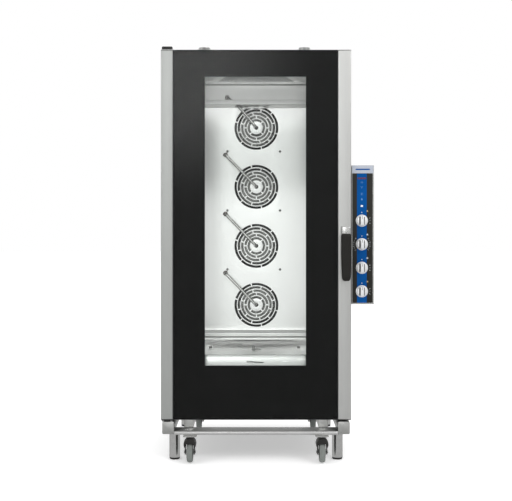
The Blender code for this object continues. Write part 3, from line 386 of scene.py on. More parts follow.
def piece(name, bm, look, body, stands_for=(), sharp=32, bevel=0.0):
    """Turns the bmesh into a shown piece that moves with the body."""
    bmesh.ops.recalc_face_normals(bm, faces=bm.faces)
    mesh = bpy.data.meshes.new(name)
    bm.to_mesh(mesh)
    bm.free()
    mesh.materials.append(look)
    mesh.shade_smooth()
    mesh.set_sharp_from_angle(angle=radians(sharp))
    obj = bpy.data.objects.new(name, mesh)
    bpy.context.scene.collection.objects.link(obj)
    if bevel:
        round_edges(obj, bevel, 40).harden_normals = True
    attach(obj, body)
    if stands_for:
        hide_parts(*stands_for)


def block_piece(name, look, body, slot, *shape, stands_for=()):
    """A piece that is one soft block; the shape is what soft_block takes."""
    bm = bmesh.new()
    soft_block(bm, *shape)
    piece(name, bm, look, body, stands_for)


def keep(node, look, bevel=0.0):
    """A CAD node that is right as it is: it gets its material, welded vertices and, when a bevel width is
    given, finely rounded edges.
    """
    obj = frame["nodes"][node]
    obj.data.materials.clear()
    obj.data.materials.append(look)
    weld = obj.modifiers.new("weld", "WELD")
    weld.merge_threshold = 0.00002
    if bevel:
        round_edges(obj, bevel, 50)


# ---------------------------------------------------------------- base


def base_frame():
    low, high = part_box("base_frame")
    beam_height = 0.056
    beam_width = 0.053
    beam_top = high.z
    beam_bottom = beam_top - beam_height
    cross = (beam_bottom - 0.0034, beam_bottom + 0.012)
    beams = bmesh.new()
    inner = bmesh.new()
    crosses = bmesh.new()
    legs = bmesh.new()
    for side in (-1, 1):
        outside = BODY_X + side * (high.x - low.x) / 2
        xs = sorted((outside, outside - side * beam_width))
        soft_block(beams, xs, (low.y + 0.033, high.y), (beam_bottom, beam_top), "Y", 0.006, 0.0015)
        xs = sorted((BODY_X + side * 0.283, BODY_X + side * 0.326))
        soft_block(inner, xs, (-0.320, 0.330), (cross[1] + GAP, beam_top), "Y", 0.004, 0.0015)
    cross_half = 0.3645
    for span in ((low.y + 0.033, -0.300), (0.310, 0.415)):
        soft_block(crosses, about(BODY_X, cross_half), span, cross, "X", 0.003, 0.0008)
    for corner in CORNERS:
        foot_low, foot_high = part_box(f"foot_{corner}")
        centre = (foot_low + foot_high) / 2
        outer = 0.0245
        profile = [
            (outer - 0.002, 0.0095), (outer - 0.0006, 0.0091), (outer, 0.0098), (outer, cross[0] - GAP),
            (outer - 0.002, cross[0] - GAP),
        ]
        turned(legs, profile, centre, "Z", 64, closed=True)
        ring = [
            (outer + 0.0001, cross[0] - 0.0035), (outer + 0.0022, cross[0] - 0.0006),
            (outer + 0.0022, cross[0] - GAP),
            (outer + 0.0001, cross[0] - GAP),
        ]
        turned(legs, ring, centre, "Z", 48, closed=True)
    plates = bmesh.new()
    for corner in CORNERS:
        swivel = JOINTS[f"castor_{corner}_swivel"]["pos_m"]
        back = swivel[1] + (0.048 if "front" in corner else 0.040)
        low_z = cross[0] - 0.0036
        soft_block(
            plates, about(swivel[0], 0.030), (swivel[1] - 0.034, back), (low_z, cross[0] - GAP), "Z",
            0.005, 0.0008,
        )
        for dx in (-0.022, 0.022):
            screw_head(plates, (swivel[0] + dx, swivel[1] + 0.034, low_z), (0, 0, -1), 0.0048)
    piece("base_side_beams", beams, STAINLESS_LENGTH, "oven", ["base_frame"])
    piece("base_inner_beams", inner, STAINLESS_LENGTH, "oven")
    piece("base_cross_channels", crosses, BRIGHT_STAINLESS, "oven")
    piece("base_leg_tubes", legs, SPIN_STEEL, "oven")
    piece("castor_plates", plates, SCREW_STEEL, "oven")
    keep("bottom_plate", STAINLESS_ACROSS, 0.0006)
    bolts = bmesh.new()
    for side in (-1, 1):
        for y in (-0.29, 0.0, 0.29):
            screw_head(bolts, (BODY_X + side * 0.4182, y, beam_bottom + 0.028), (side, 0, 0), 0.007)
    piece("base_beam_bolts", bolts, SCREW_STEEL, "oven")


def feet():
    for corner in CORNERS:
        low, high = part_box(f"foot_{corner}")
        centre = (low + high) / 2
        bm = bmesh.new()
        profile = [
            (0.0150, 0.0), (0.0195, 0.0), (0.0215, 0.0006), (0.0230, 0.0022), (0.0235, 0.0045),
            (0.0235, 0.0072), (0.0230, 0.0084), (0.0100, 0.0086), (0.0100, high.z), (0.004, high.z),
        ]
        turned(bm, profile, centre, "Z", 56)
        piece(
            f"levelling_foot_{corner}", bm, BLACK, f"levelling_{corner}",
            [f"foot_{corner}"],
        )


def castors():
    for corner in CORNERS:
        swivel = Vector(JOINTS[f"castor_{corner}_swivel"]["pos_m"])
        hub = Vector(JOINTS[f"castor_{corner}_roll"]["pos_m"])
        wheel_low, wheel_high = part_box(f"castor_wheel_{corner}")
        fork_low, fork_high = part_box(f"castor_fork_{corner}")
        radius = (wheel_high.z - wheel_low.z) / 2
        half = (wheel_high.x - wheel_low.x) / 2
        tyre = bmesh.new()
        steps = 14
        profile = [(0.031, hub.x - 0.0115)]
        for step in range(steps + 1):
            angle = pi * step / steps
            profile.append((radius - 0.008 + 0.008 * sin(angle), hub.x - 0.0135 * cos(angle)))
        profile.append((0.031, hub.x + 0.0115))
        turned(tyre, profile, hub, "X", 64, closed=True)
        piece(
            f"castor_tyre_{corner}", tyre, TYRE, f"castor_roll_{corner}",
            [f"castor_wheel_{corner}"],
        )
        rim = bmesh.new()
        profile = [
            (0.0055, hub.x - half), (0.013, hub.x - half), (0.0145, hub.x - half + 0.002),
            (0.0155, hub.x - 0.007), (0.027, hub.x - 0.0085), (0.031, hub.x - 0.012),
            (0.033, hub.x - 0.011),
            (0.033, hub.x + 0.011), (0.031, hub.x + 0.012), (0.027, hub.x + 0.0085),
            (0.0155, hub.x + 0.007),
            (0.0145, hub.x + half - 0.002), (0.013, hub.x + half), (0.0055, hub.x + half),
        ]
        turned(rim, profile, hub, "X", 48, closed=True)
        piece(f"castor_rim_{corner}", rim, BLACK, f"castor_roll_{corner}")
        fork = bmesh.new()
        hood = (fork_high.x - fork_low.x) / 2
        hood_z = fork_high.z - 0.0307
        slot = half + 0.0022
        cheek = slot + 0.004
        arch_radius = radius + 0.004
        rings = []
        count = 22
        for step in range(count + 1):
            along = step / count
            y = hub.y - 0.030 + along * (swivel.y + 0.020 - hub.y + 0.030)
            swell = 1 - 0.10 * (2 * along - 1) ** 4
            outer = []
            for turn in range(25):
                angle = -0.22 * pi + 1.44 * pi * turn / 24
                outer.append((swivel.x + hood * swell * cos(angle), y, hood_z + hood * swell * sin(angle)))
            arch = max(arch_radius**2 - (y - hub.y) ** 2, 0.0) ** 0.5
            top = min(hub.z + arch, hood_z + hood * swell - 0.004)
            bottom_z = outer[-1][2]
            inner = [
                (swivel.x - slot, y, bottom_z), (swivel.x - slot, y, top - 0.006),
                (swivel.x - slot + 0.006, y, top),
            ]
            inner += [
                (swivel.x + slot - 0.006, y, top), (swivel.x + slot, y, top - 0.006),
                (swivel.x + slot, y, bottom_z),
            ]
            rings.append(outer + inner)
        loft(fork, rings)
        for side in (-1, 1):
            xs = sorted((swivel.x + side * slot, swivel.x + side * cheek))
            turns = [pi + pi * k / 12 for k in range(13)]
            outline = [(hub.y + 0.012 * cos(a), hub.z + 0.012 * sin(a)) for a in turns]
            outline += [(hub.y + 0.016, hood_z - 0.004), (hub.y - 0.016, hood_z - 0.004)]
            prism(fork, outline, "X", *xs)
        piece(
            f"castor_fork_hood_{corner}", fork, BLACK, f"castor_swivel_{corner}",
            [f"castor_fork_{corner}"], bevel=0.0006,
        )
        metal = bmesh.new()
        for side in (-1, 1):
            face = swivel.x + side * cheek
            prism(metal, circle(hub.y, hub.z, 0.0062, 6), "X", *sorted((face, face + side * 0.004)))
        axle = [(0.0046, hub.x - slot), (0.0046, hub.x + slot)]
        turned(metal, axle, hub, "X", 24)
        head = [
            (0.020, fork_high.z - 0.004), (0.024, fork_high.z - 0.003), (0.024, fork_high.z),
            (0.010, fork_high.z),
        ]
        turned(metal, head, swivel, "Z", 48)
        piece(f"castor_axle_{corner}", metal, SCREW_STEEL, f"castor_swivel_{corner}")


# ---------------------------------------------------------------- casing


def louvres(vents, gaps, origin, across, outward, count, pitch, widths, depth=0.004, gap_half=0.0012):
    """A column of pressed louvres with near-black blocks of painted shade in the gaps under them; origin is
    the lowest louvre's middle.
    """
    origin, across, outward = Vector(origin), Vector(across), Vector(outward)
    up = Vector((0, 0, 1))
    width, gap_width = widths
    for index in range(count):
        centre = origin + up * pitch * index
        rings = []
        steps = 10
        for step in range(steps + 1):
            t = 2 * step / steps - 1
            bulge = (1 - abs(t) ** 4) * depth + 0.0003
            point = centre + across * width / 2 * t
            rings.append([
                point - up * 0.007,
                point - up * 0.0065 + outward * bulge * 0.97,
                point - up * 0.004 + outward * bulge,
                point + up * 0.006 + outward * 0.0004,
                point + up * 0.006,
            ])
        loft(vents, rings)
        reach = across * gap_width / 2 + up * gap_half
        gap = centre - up * 0.0078
        spans = zip(gap - reach - outward * 0.0004, gap + reach + outward * 0.0003)
        soft_block(gaps, *spans, "Y" if outward.y else "X", 0.0008, 0.0001)


def casing():
    keep("left_side_panel", STAINLESS, 0.0008)
    keep("right_side_panel", STAINLESS, 0.0008)
    keep("rear_cover", STAINLESS, 0.0008)
    keep("top_panel", STAINLESS_LENGTH, 0.001)
    keep("front_frame", STAINLESS, 0.0006)
    rear_low, rear_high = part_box("rear_cover")
    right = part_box("right_side_panel")[1].x
    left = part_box("left_side_panel")[0].x
    vents = bmesh.new()
    gaps = bmesh.new()
    for dx in (-0.2, 0.2):
        for z in (0.62, 1.45):
            louvres(
                vents, gaps, (BODY_X + dx, rear_high.y, z), (1, 0, 0), (0, 1, 0), 9, 0.020, (0.16, 0.14),
            )
    for face, outward in ((right, 1), (left, -1)):
        louvres(vents, gaps, (face, 0.25, 0.26), (0, 1, 0), (outward, 0, 0), 10, 0.020, (0.20, 0.17))
    piece("casing_louvres", vents, STAINLESS, "oven")
    piece("casing_louvre_gaps", gaps, LOUVRE_SHADE, "oven")
    screws = bmesh.new()
    screw_radius = 0.0045
    for dx in (-0.40, 0.0, 0.40):
        for z in (rear_low.z + 0.02, 0.60, 1.20, rear_high.z - 0.02):
            screw_head(screws, (BODY_X + dx, rear_high.y, z), (0, 1, 0), screw_radius)
    for face, outward in ((right, 1), (left, -1)):
        for y in (-0.285, 0.43):
            for z in (0.23, 0.75 if outward < 0 else 0.60, 1.40, 1.78):
                screw_head(screws, (face, y, z), (outward, 0, 0), screw_radius)
    for dx in (-0.39, 0.39):
        for y in (-0.28, 0.07, 0.43):
            screw_head(screws, (BODY_X + dx, y, LID_HIGH.z), (0, 0, 1), screw_radius)
    piece("casing_screws", screws, SCREW_STEEL, "oven")
    seams = bmesh.new()
    for dx in (-0.30, 0.30):
        soft_block(
            seams, about(BODY_X + dx, 0.010), (LID_LOW.y + 0.03, LID_HIGH.y - 0.03),
            (LID_HIGH.z + 0.0002, LID_HIGH.z + 0.0032), "Z", 0.004, 0.0014,
        )
    piece("lid_stiffening_ribs", seams, STAINLESS_LENGTH, "oven")


def chimneys():
    for side in ("left", "right"):
        low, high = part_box(f"vent_chimney_{side}")
        centre = (low + high) / 2
        outer = (high.x - low.x) / 2
        bm = bmesh.new()
        profile = [
            (outer - 0.0006, low.z), (outer - 0.0006, high.z - 0.003), (outer, high.z - 0.0015),
            (outer - 0.0005, high.z), (outer - 0.0020, high.z), (outer - 0.0026, high.z - 0.003),
            (outer - 0.0026, low.z),
        ]
        turned(bm, profile, centre, "Z", 64, closed=True)
        flange = [
            (outer + 0.0004, LID_HIGH.z + 0.0005), (outer + 0.014, LID_HIGH.z + 0.0005),
            (outer + 0.014, LID_HIGH.z + 0.0015), (outer + 0.003, LID_HIGH.z + 0.0022),
            (outer + 0.0008, LID_HIGH.z + 0.006), (outer + 0.0004, LID_HIGH.z + 0.006),
        ]
        turned(bm, flange, centre, "Z", 64, closed=True)
        look = SPIN_STEEL if side == "left" else STAINLESS
        piece(f"steam_chimney_{side}", bm, look, "oven", [f"vent_chimney_{side}"])


def water_inlet():
    keep("water_valve", BLACK)
    low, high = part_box("water_valve")
    centre = (low + high) / 2
    bm = bmesh.new()
    profile = [(0.0135, high.y - 0.022)]
    turns = 7
    for turn in range(turns):
        start = high.y - 0.020 + turn * 0.0024
        profile += [
            (0.0132, start), (0.0144, start + 0.0008), (0.0144, start + 0.0014), (0.0132, start + 0.0022),
        ]
    profile += [(0.0128, high.y), (0.0098, high.y), (0.0098, high.y - 0.022)]
    turned(bm, profile, centre, "Y", 48, closed=True)
    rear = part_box("rear_cover")[1].y
    washer = [
        (0.0175, rear + 0.0002), (0.028, rear + 0.0002), (0.028, rear + 0.0014), (0.0175, rear + 0.0014),
    ]
    turned(bm, washer, centre, "Y", 48, closed=True)
    piece("water_inlet_thread", bm, BRASS, "oven")


# ---------------------------------------------------------------- cavity

FLANGE = 0.040
SLOPE = 0.010
DEFLECTOR_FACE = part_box("fan_deflector")[0].y + FLANGE
TOP_LIP = 0.025
BOTTOM_LIP = 0.017
TOP_PIPE_BEND = Vector((BODY_X - 0.0854, 0.138, 1.641))
GRILLE_RINGS = ((4, 45), (4, 0), (6, 44), (6, 15), (6, 44))


def arc_slots(centre):
    """Outlines of a grille's curved slots: for each ring, their number and the angle of one bridge."""
    first_radius = 0.038
    ring_pitch = 0.0165
    half_width = 0.0057
    bridge_width = 0.0058
    slots = []
    for ring, (count, bridge_angle) in enumerate(GRILLE_RINGS):
        middle = first_radius + ring * ring_pitch
        half_bridge = bridge_width / middle / 2
        span = 2 * pi / count - 2 * half_bridge
        steps = 60 // count
        for slot in range(count):
            start = radians(bridge_angle) + slot * 2 * pi / count + half_bridge
            angles = [start + span * k / steps for k in range(steps + 1)]
            outline = [(middle + half_width, angle) for angle in angles]
            outline += [(middle - half_width, angle) for angle in reversed(angles)]
            slots.append([(centre.x + reach * cos(a), centre.z + reach * sin(a)) for reach, a in outline])
    return slots


def deflector():
    low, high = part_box("fan_deflector")
    face = DEFLECTOR_FACE
    bottom = low.z + BOTTOM_LIP + SLOPE
    top = high.z - TOP_LIP - SLOPE
    bend = 0.004
    notch = about(TOP_PIPE_BEND.x, 0.018)
    outline = [
        (low.x, bottom + bend), (high.x, bottom + bend), (high.x, top - bend),
        (notch[1], top - bend), (notch[0], top - bend), (low.x, top - bend),
    ]
    loops = [outline]
    for number, fan in enumerate(FANS):
        loops += arc_slots(fan)
        loops.append(circle(fan.x, fan.z, 0.010))
        if number:
            root = pipe_route(number)[1]
            loops.append(circle(root.x, root.z, 0.0085))
    bm = bmesh.new()
    edges = []
    for loop in loops:
        verts = [bm.verts.new((x, face, z)) for x, z in loop]
        edges += [bm.edges.new((verts[i - 1], verts[i])) for i in range(len(verts))]
    bmesh.ops.triangle_fill(bm, edges=edges, use_beauty=True, use_dissolve=False)
    for level, way, lip in ((top - bend, 1, TOP_LIP), (bottom + bend, -1, BOTTOM_LIP)):
        edge_line = level + way * bend
        corner_path = rounded_path(
            [
                (0, face, level), (0, face, edge_line), (0, face - FLANGE, edge_line + way * SLOPE),
                (0, face - FLANGE, edge_line + way * (SLOPE + lip)),
            ], 0.004, 4,
        )
        row = [edge for edge in bm.edges if all(abs(vert.co.z - level) < 1e-6 for vert in edge.verts)]
        for before, after in zip(corner_path, corner_path[1:]):
            made = bmesh.ops.extrude_edge_only(bm, edges=row)["geom"]
            verts = [item for item in made if isinstance(item, bmesh.types.BMVert)]
            bmesh.ops.translate(bm, vec=(0, after.y - before.y, after.z - before.z), verts=verts)
            row = [item for item in made if isinstance(item, bmesh.types.BMEdge)]
    opening = []
    for polygon in bm.faces:
        middle = polygon.calc_center_median()
        in_flange = face - FLANGE + 0.006 < middle.y < face - 0.004 and middle.z > top
        if in_flange and notch[0] < middle.x < notch[1]:
            opening.append(polygon)
    bmesh.ops.delete(bm, geom=opening, context="FACES_ONLY")
    bmesh.ops.recalc_face_normals(bm, faces=bm.faces)
    front_faces = [f for f in bm.faces if abs(f.calc_center_median().y - face) < 1e-5]
    if any(f.normal.y > 0.9 for f in front_faces):
        bmesh.ops.reverse_faces(bm, faces=bm.faces)
    mesh = bpy.data.meshes.new("punched_fan_deflector")
    bm.to_mesh(mesh)
    bm.free()
    mesh.materials.append(CAVITY)
    mesh.materials.append(PAINTED_SHADE_STEEL)
    mesh.materials.append(PAINTED_HIGHLIGHT_STEEL)
    for polygon in mesh.polygons:
        under_face = polygon.center.z < bottom and polygon.center.y > face - FLANGE + 0.003
        top_lip = polygon.center.z > top + SLOPE and polygon.center.y < face - FLANGE + 0.002
        over_face = polygon.center.z > top and polygon.center.y > face - FLANGE + 0.003
        # painted shade: faces under the bottom bend and the top lip take the darker steel copy
        if under_face or top_lip:
            polygon.material_index = 1
        # painted highlight: the top slope takes the lighter steel copy
        elif over_face and polygon.center.y < face - 0.003:
            polygon.material_index = 2
    mesh.shade_smooth()
    mesh.set_sharp_from_angle(angle=radians(25))
    obj = bpy.data.objects.new("punched_fan_deflector", mesh)
    bpy.context.scene.collection.objects.link(obj)
    solid = obj.modifiers.new("sheet", "SOLIDIFY")
    solid.thickness = 0.0015
    solid.offset = -1
    solid.use_even_offset = True
    shading = obj.modifiers.new("shading", "WEIGHTED_NORMAL")
    shading.keep_sharp = True
    shading.weight = 100
    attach(obj, "oven")
    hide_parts("fan_deflector")
    screws = bmesh.new()
    screw_radius = 0.0062
    below_fan = 0.118
    for fan in FANS[:3]:
        for dx in (-0.143, 0.120):
            screw_head(screws, (BODY_X + dx, face, fan.z - below_fan), (0, -1, 0), screw_radius)
    for dx in (-0.27, 0.27):
        for z in (bottom + 0.03, top - 0.03):
            screw_head(screws, (BODY_X + dx, face, z), (0, -1, 0), screw_radius)
    piece("deflector_screws", screws, DULL_STEEL_AND_SHADE, "oven")
    # painted shade: a dark strip just below the deflector's bottom lip stands for the shadowed gap there
    strip_y = face - FLANGE
    block_piece(
        "deflector_foot_rail", DULL_STEEL_AND_SHADE, "oven", "stainless", (low.x + 0.010, high.x - 0.010),
        (strip_y + 0.0004, strip_y + 0.008), (low.z - 0.0068, low.z - 0.0004), "X", 0.0012, 0.0004,
    )


PIPE_RADIUS = 0.0065


def pipe_route(number):
    """The corner points of a water pipe, from the rear wall to the tip in the grille."""
    low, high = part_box(f"injection_pipe_{number + 1}")
    fan = FANS[number]
    start = Vector((low.x + PIPE_RADIUS, high.y, high.z - PIPE_RADIUS))
    front = low.y + PIPE_RADIUS
    if number == 0:
        route = [start, Vector((start.x, start.y - 0.020, start.z)), TOP_PIPE_BEND]
    else:
        route = [start, Vector((start.x, front, start.z))]
    return route + [
        Vector((fan.x - 0.004, front, fan.z + 0.004)), Vector((fan.x, DEFLECTOR_FACE + 0.019, fan.z)),
    ]


def pipes():
    for number in range(4):
        route = pipe_route(number)
        bm = bmesh.new()
        tube(bm, rounded_path(route, 0.016, 8), PIPE_RADIUS, 28)
        piece(
            f"water_pipe_{number + 1}", bm, PIPE_STEEL, "oven",
            [f"injection_pipe_{number + 1}"], sharp=50,
        )
        collar = bmesh.new()
        root = route[1]
        face = DEFLECTOR_FACE if number else route[0].y
        rings = []
        for radius, rise in ((0.0125, 0.0003), (0.0125, 0.006), (0.0122 * 0.92, 0.0075)):
            rings.append([(x, face - rise, z) for x, z in circle(root.x, root.z, radius, 6)])
        loft(collar, rings)
        piece(f"pipe_collar_{number + 1}", collar, HEATER, "oven", bevel=0.0004)


def fan_wheels():
    for number, fan in enumerate(FANS, 1):
        low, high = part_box(f"fan_wheel_{number}")
        front, radius = low.y, (high.x - low.x) / 2
        back = front + 0.048
        plate = bmesh.new()
        disc = [(0.019, back - 0.002), (radius, back - 0.002), (radius, back), (0.019, back)]
        turned(plate, disc, fan, "Y", 72, closed=True)
        bm = bmesh.new()
        ring = [
            (radius - 0.030, front), (radius, front + 0.001), (radius, front + 0.0025),
            (radius - 0.030, front + 0.0015),
        ]
        turned(bm, ring, fan, "Y", 72, closed=True)
        hub = [
            (0.006, front - 0.001), (0.0125, front), (0.014, front + 0.003), (0.020, front + 0.008),
            (0.022, front + 0.012), (0.022, back), (0.007, back + 0.001), (0.007, high.y),
        ]
        turned(plate, hub, fan, "Y", 40)
        piece(f"fan_hub_disc_{number}", plate, DISC_STEEL, f"fan_{number}")
        blades = 20
        blade_root = 0.078
        blade_length = radius - 0.003 - blade_root
        for blade in range(blades):
            turn = 2 * pi * blade / blades
            rings = []
            for step in range(6):
                t = step / 5
                distance = blade_root + t * blade_length
                angle = turn + 0.42 * t**1.3
                point = Vector((distance * cos(angle), 0, distance * sin(angle)))
                side = Vector((-sin(angle), 0, cos(angle))) * 0.0008
                rings.append([
                    fan + point + side + Vector((0, front + 0.002 - fan.y, 0)),
                    fan + point + side + Vector((0, back - 0.001 - fan.y, 0)),
                    fan + point - side + Vector((0, back - 0.001 - fan.y, 0)),
                    fan + point - side + Vector((0, front + 0.002 - fan.y, 0)),
                ])
            loft(bm, rings)
        piece(
            f"fan_impeller_{number}", bm, FAN_SHADE_STEEL, f"fan_{number}", [f"fan_wheel_{number}"],
        )
        keep(f"fan_motor_{number}", MOTOR)
        heater = bmesh.new()
        heat_low, heat_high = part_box(f"ring_heater_{number}")
        rod = 0.004
        ring_radius = (heat_high.x - heat_low.x) / 2 - rod
        y = heat_low.y + rod
        points = []
        for step in range(73):
            angle = -pi / 2 + radians(9) + (2 * pi - radians(18)) * step / 72
            points.append((fan.x + ring_radius * cos(angle), y, fan.z + ring_radius * sin(angle)))
        wall = heat_high.y
        ends = [(points[0][0], wall, points[0][2])], [(points[-1][0], wall, points[-1][2])]
        tube(heater, ends[0] + points + ends[1], rod, 14)
        piece(
            f"heater_ring_{number}", heater, HEATER, "oven", [f"ring_heater_{number}"],
            sharp=60,
        )


def contour(centre, half, power, z):
    """A level ring of points on a rounded rectangle; the higher the power, the sharper its corners."""
    ring = []
    for x, y in circle(0, 0, 1.0, 96):
        reach = (abs(x / half[0]) ** power + abs(y / half[1]) ** power) ** (-1 / power)
        ring.append((centre[0] + x * reach, centre[1] + y * reach, z))
    return ring


def cavity_walls():
    keep("cavity_wrap", CAVITY)
    keep("cavity_rear_wall", CAVITY)
    low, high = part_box("cavity_floor")
    bm = bmesh.new()
    centre = ((low.x + high.x) / 2, (low.y + high.y) / 2)
    half = ((high.x - low.x) / 2, (high.y - low.y) / 2)
    top = high.z
    drain = 0.024
    loops = [
        contour(centre, (half[0], half[1]), 60, top),
        contour(centre, (half[0] - 0.012, half[1] - 0.010), 40, top - 0.0001),
        contour(centre, (0.232, 0.264), 5, top - 0.0004),
        contour(centre, (0.226, 0.260), 4.5, top - 0.0020),
        contour(centre, (0.206, 0.243), 2.6, top - 0.0118),
        contour(centre, (0.196, 0.236), 2.4, top - 0.0128),
        contour(centre, (0.12, 0.14), 2.0, top - 0.0138),
        contour(centre, (drain, drain), 2.0, top - 0.0146),
    ]
    pipe = 0.022
    for radius, z in (
        (pipe, top - 0.0165), (pipe, low.z), (pipe + 0.002, low.z), (pipe + 0.002, top - 0.0185),
    ):
        loops.append([(x, y, z) for x, y in circle(*centre, radius, 96)])
    loops.append([(x, y, z - 0.002) for x, y, z in loops[0]])
    loft(bm, loops, closed=True)
    piece("cavity_floor_basin", bm, CAVITY_FLOOR, "oven", ["cavity_floor"], sharp=40)
    clips = bmesh.new()
    for dx, base in ((-0.218, 0.004), (-0.010, 0.0150), (0.203, 0.004)):
        x = BODY_X + dx
        soft_block(clips, about(x, 0.007), (-0.066, -0.062), (top - base, top + 0.007), "Y", 0.002, 0.0006)
        soft_block(
            clips, (x + 0.003, x + 0.007), (-0.076, -0.062), (top + 0.0045, top + 0.007), "Y", 0.001, 0.0006,
        )
    piece("floor_clips", clips, DULL_STEEL_AND_SHADE, "oven")
    strainer = bmesh.new()
    z = top - 0.0145
    profile = [
        (0.002, z + 0.0015), (0.026, z + 0.001), (0.0275, z - 0.001), (0.0275, z - 0.002),
        (0.002, z - 0.0008),
    ]
    turned(strainer, profile, (*centre, 0), "Z", 48)
    for ring_radius, holes in ((0.009, 6), (0.018, 12)):
        for x, y in circle(*centre, ring_radius, holes):
            screw_head(strainer, (x, y, z + 0.0012), (0, 0, 1), 0.0022)
    piece("drain_strainer", strainer, SCREW_STEEL, "oven")
    for side in ("left", "right"):
        keep(f"tray_rack_{side}", SPIN_STEEL, 0.0006)
    sill_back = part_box("front_frame")[0].y - 0.0001
    sill = bmesh.new()
    outline = [
        (sill_back, top - 0.0006), (sill_back - 0.0012, top - 0.0014), (sill_back - 0.0014, top - 0.0125),
        (sill_back - 0.0105, top - 0.0465), (sill_back - 0.0098, top - 0.0478), (sill_back, top - 0.0478),
    ]
    prism(sill, outline, "X", low.x - 0.012, high.x + 0.012)
    piece("front_sill", sill, SILL, "oven", bevel=0.0004)
    slot = bmesh.new()
    for dx, width, dz in ((-0.026, 0.030, 0.0305), (0.012, 0.046, 0.0335)):
        y = sill_back - 0.0064 - (dz - 0.0305) * 0.27
        soft_block(
            slot, about(BODY_X + dx, width / 2), (y - 0.0006, y + 0.0030), about(top - dz, 0.0045), "Y",
            0.0044, 0.0004,
        )
    piece("sill_drain_slots", slot, SCREW_STEEL, "oven")
    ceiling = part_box("cavity_wrap")[1].z - 0.0022
    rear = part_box("cavity_rear_wall")[0].y - 0.004
    baffle = bmesh.new()
    edges = bmesh.new()
    near_y = -0.05
    far_y = rear - 0.125
    far, near, drop = 0.190, 0.138, 0.003
    flat = [(BODY_X - far, far_y), (BODY_X + far, far_y), (BODY_X + near, near_y), (BODY_X - near, near_y)]
    rings = [[(x, y, z) for x, y in flat] for z in (ceiling, ceiling - drop)]
    loft(baffle, rings)
    for side in (-1, 1):
        rings = []
        for y, half_width in ((far_y, far), (near_y, near)):
            inner_x = BODY_X + side * (half_width + 0.0006)
            outer_x = BODY_X + side * (half_width + 0.034)
            rings.append([
                (inner_x, y, ceiling - drop), (outer_x, y, ceiling - 0.0012), (outer_x, y, ceiling),
                (inner_x, y, ceiling),
            ])
        loft(edges, rings)
    soft_block(
        edges, about(BODY_X, 0.325), (far_y + 0.004, rear - 0.006), (ceiling - 0.0014, ceiling), "Z",
        0.004, 0.0004,
    )
    # painted shade: a dark strip along the crease where the ceiling meets the rear wall
    block_piece(
        "ceiling_rear_seam", DULL_STEEL_AND_SHADE, "oven", "stainless", about(BODY_X, 0.325),
        (rear - 0.0050, rear + 0.0036), (ceiling - 0.0042, ceiling), "X", 0.0012, 0.0004,
    )
    piece("ceiling_baffle", baffle, BAFFLE, "oven", bevel=0.0008)
    # the baffle's edge strips carry the painted highlight steel
    piece("ceiling_baffle_edges", edges, PAINTED_HIGHLIGHT_STEEL, "oven", bevel=0.0006)


# ---------------------------------------------------------------- door


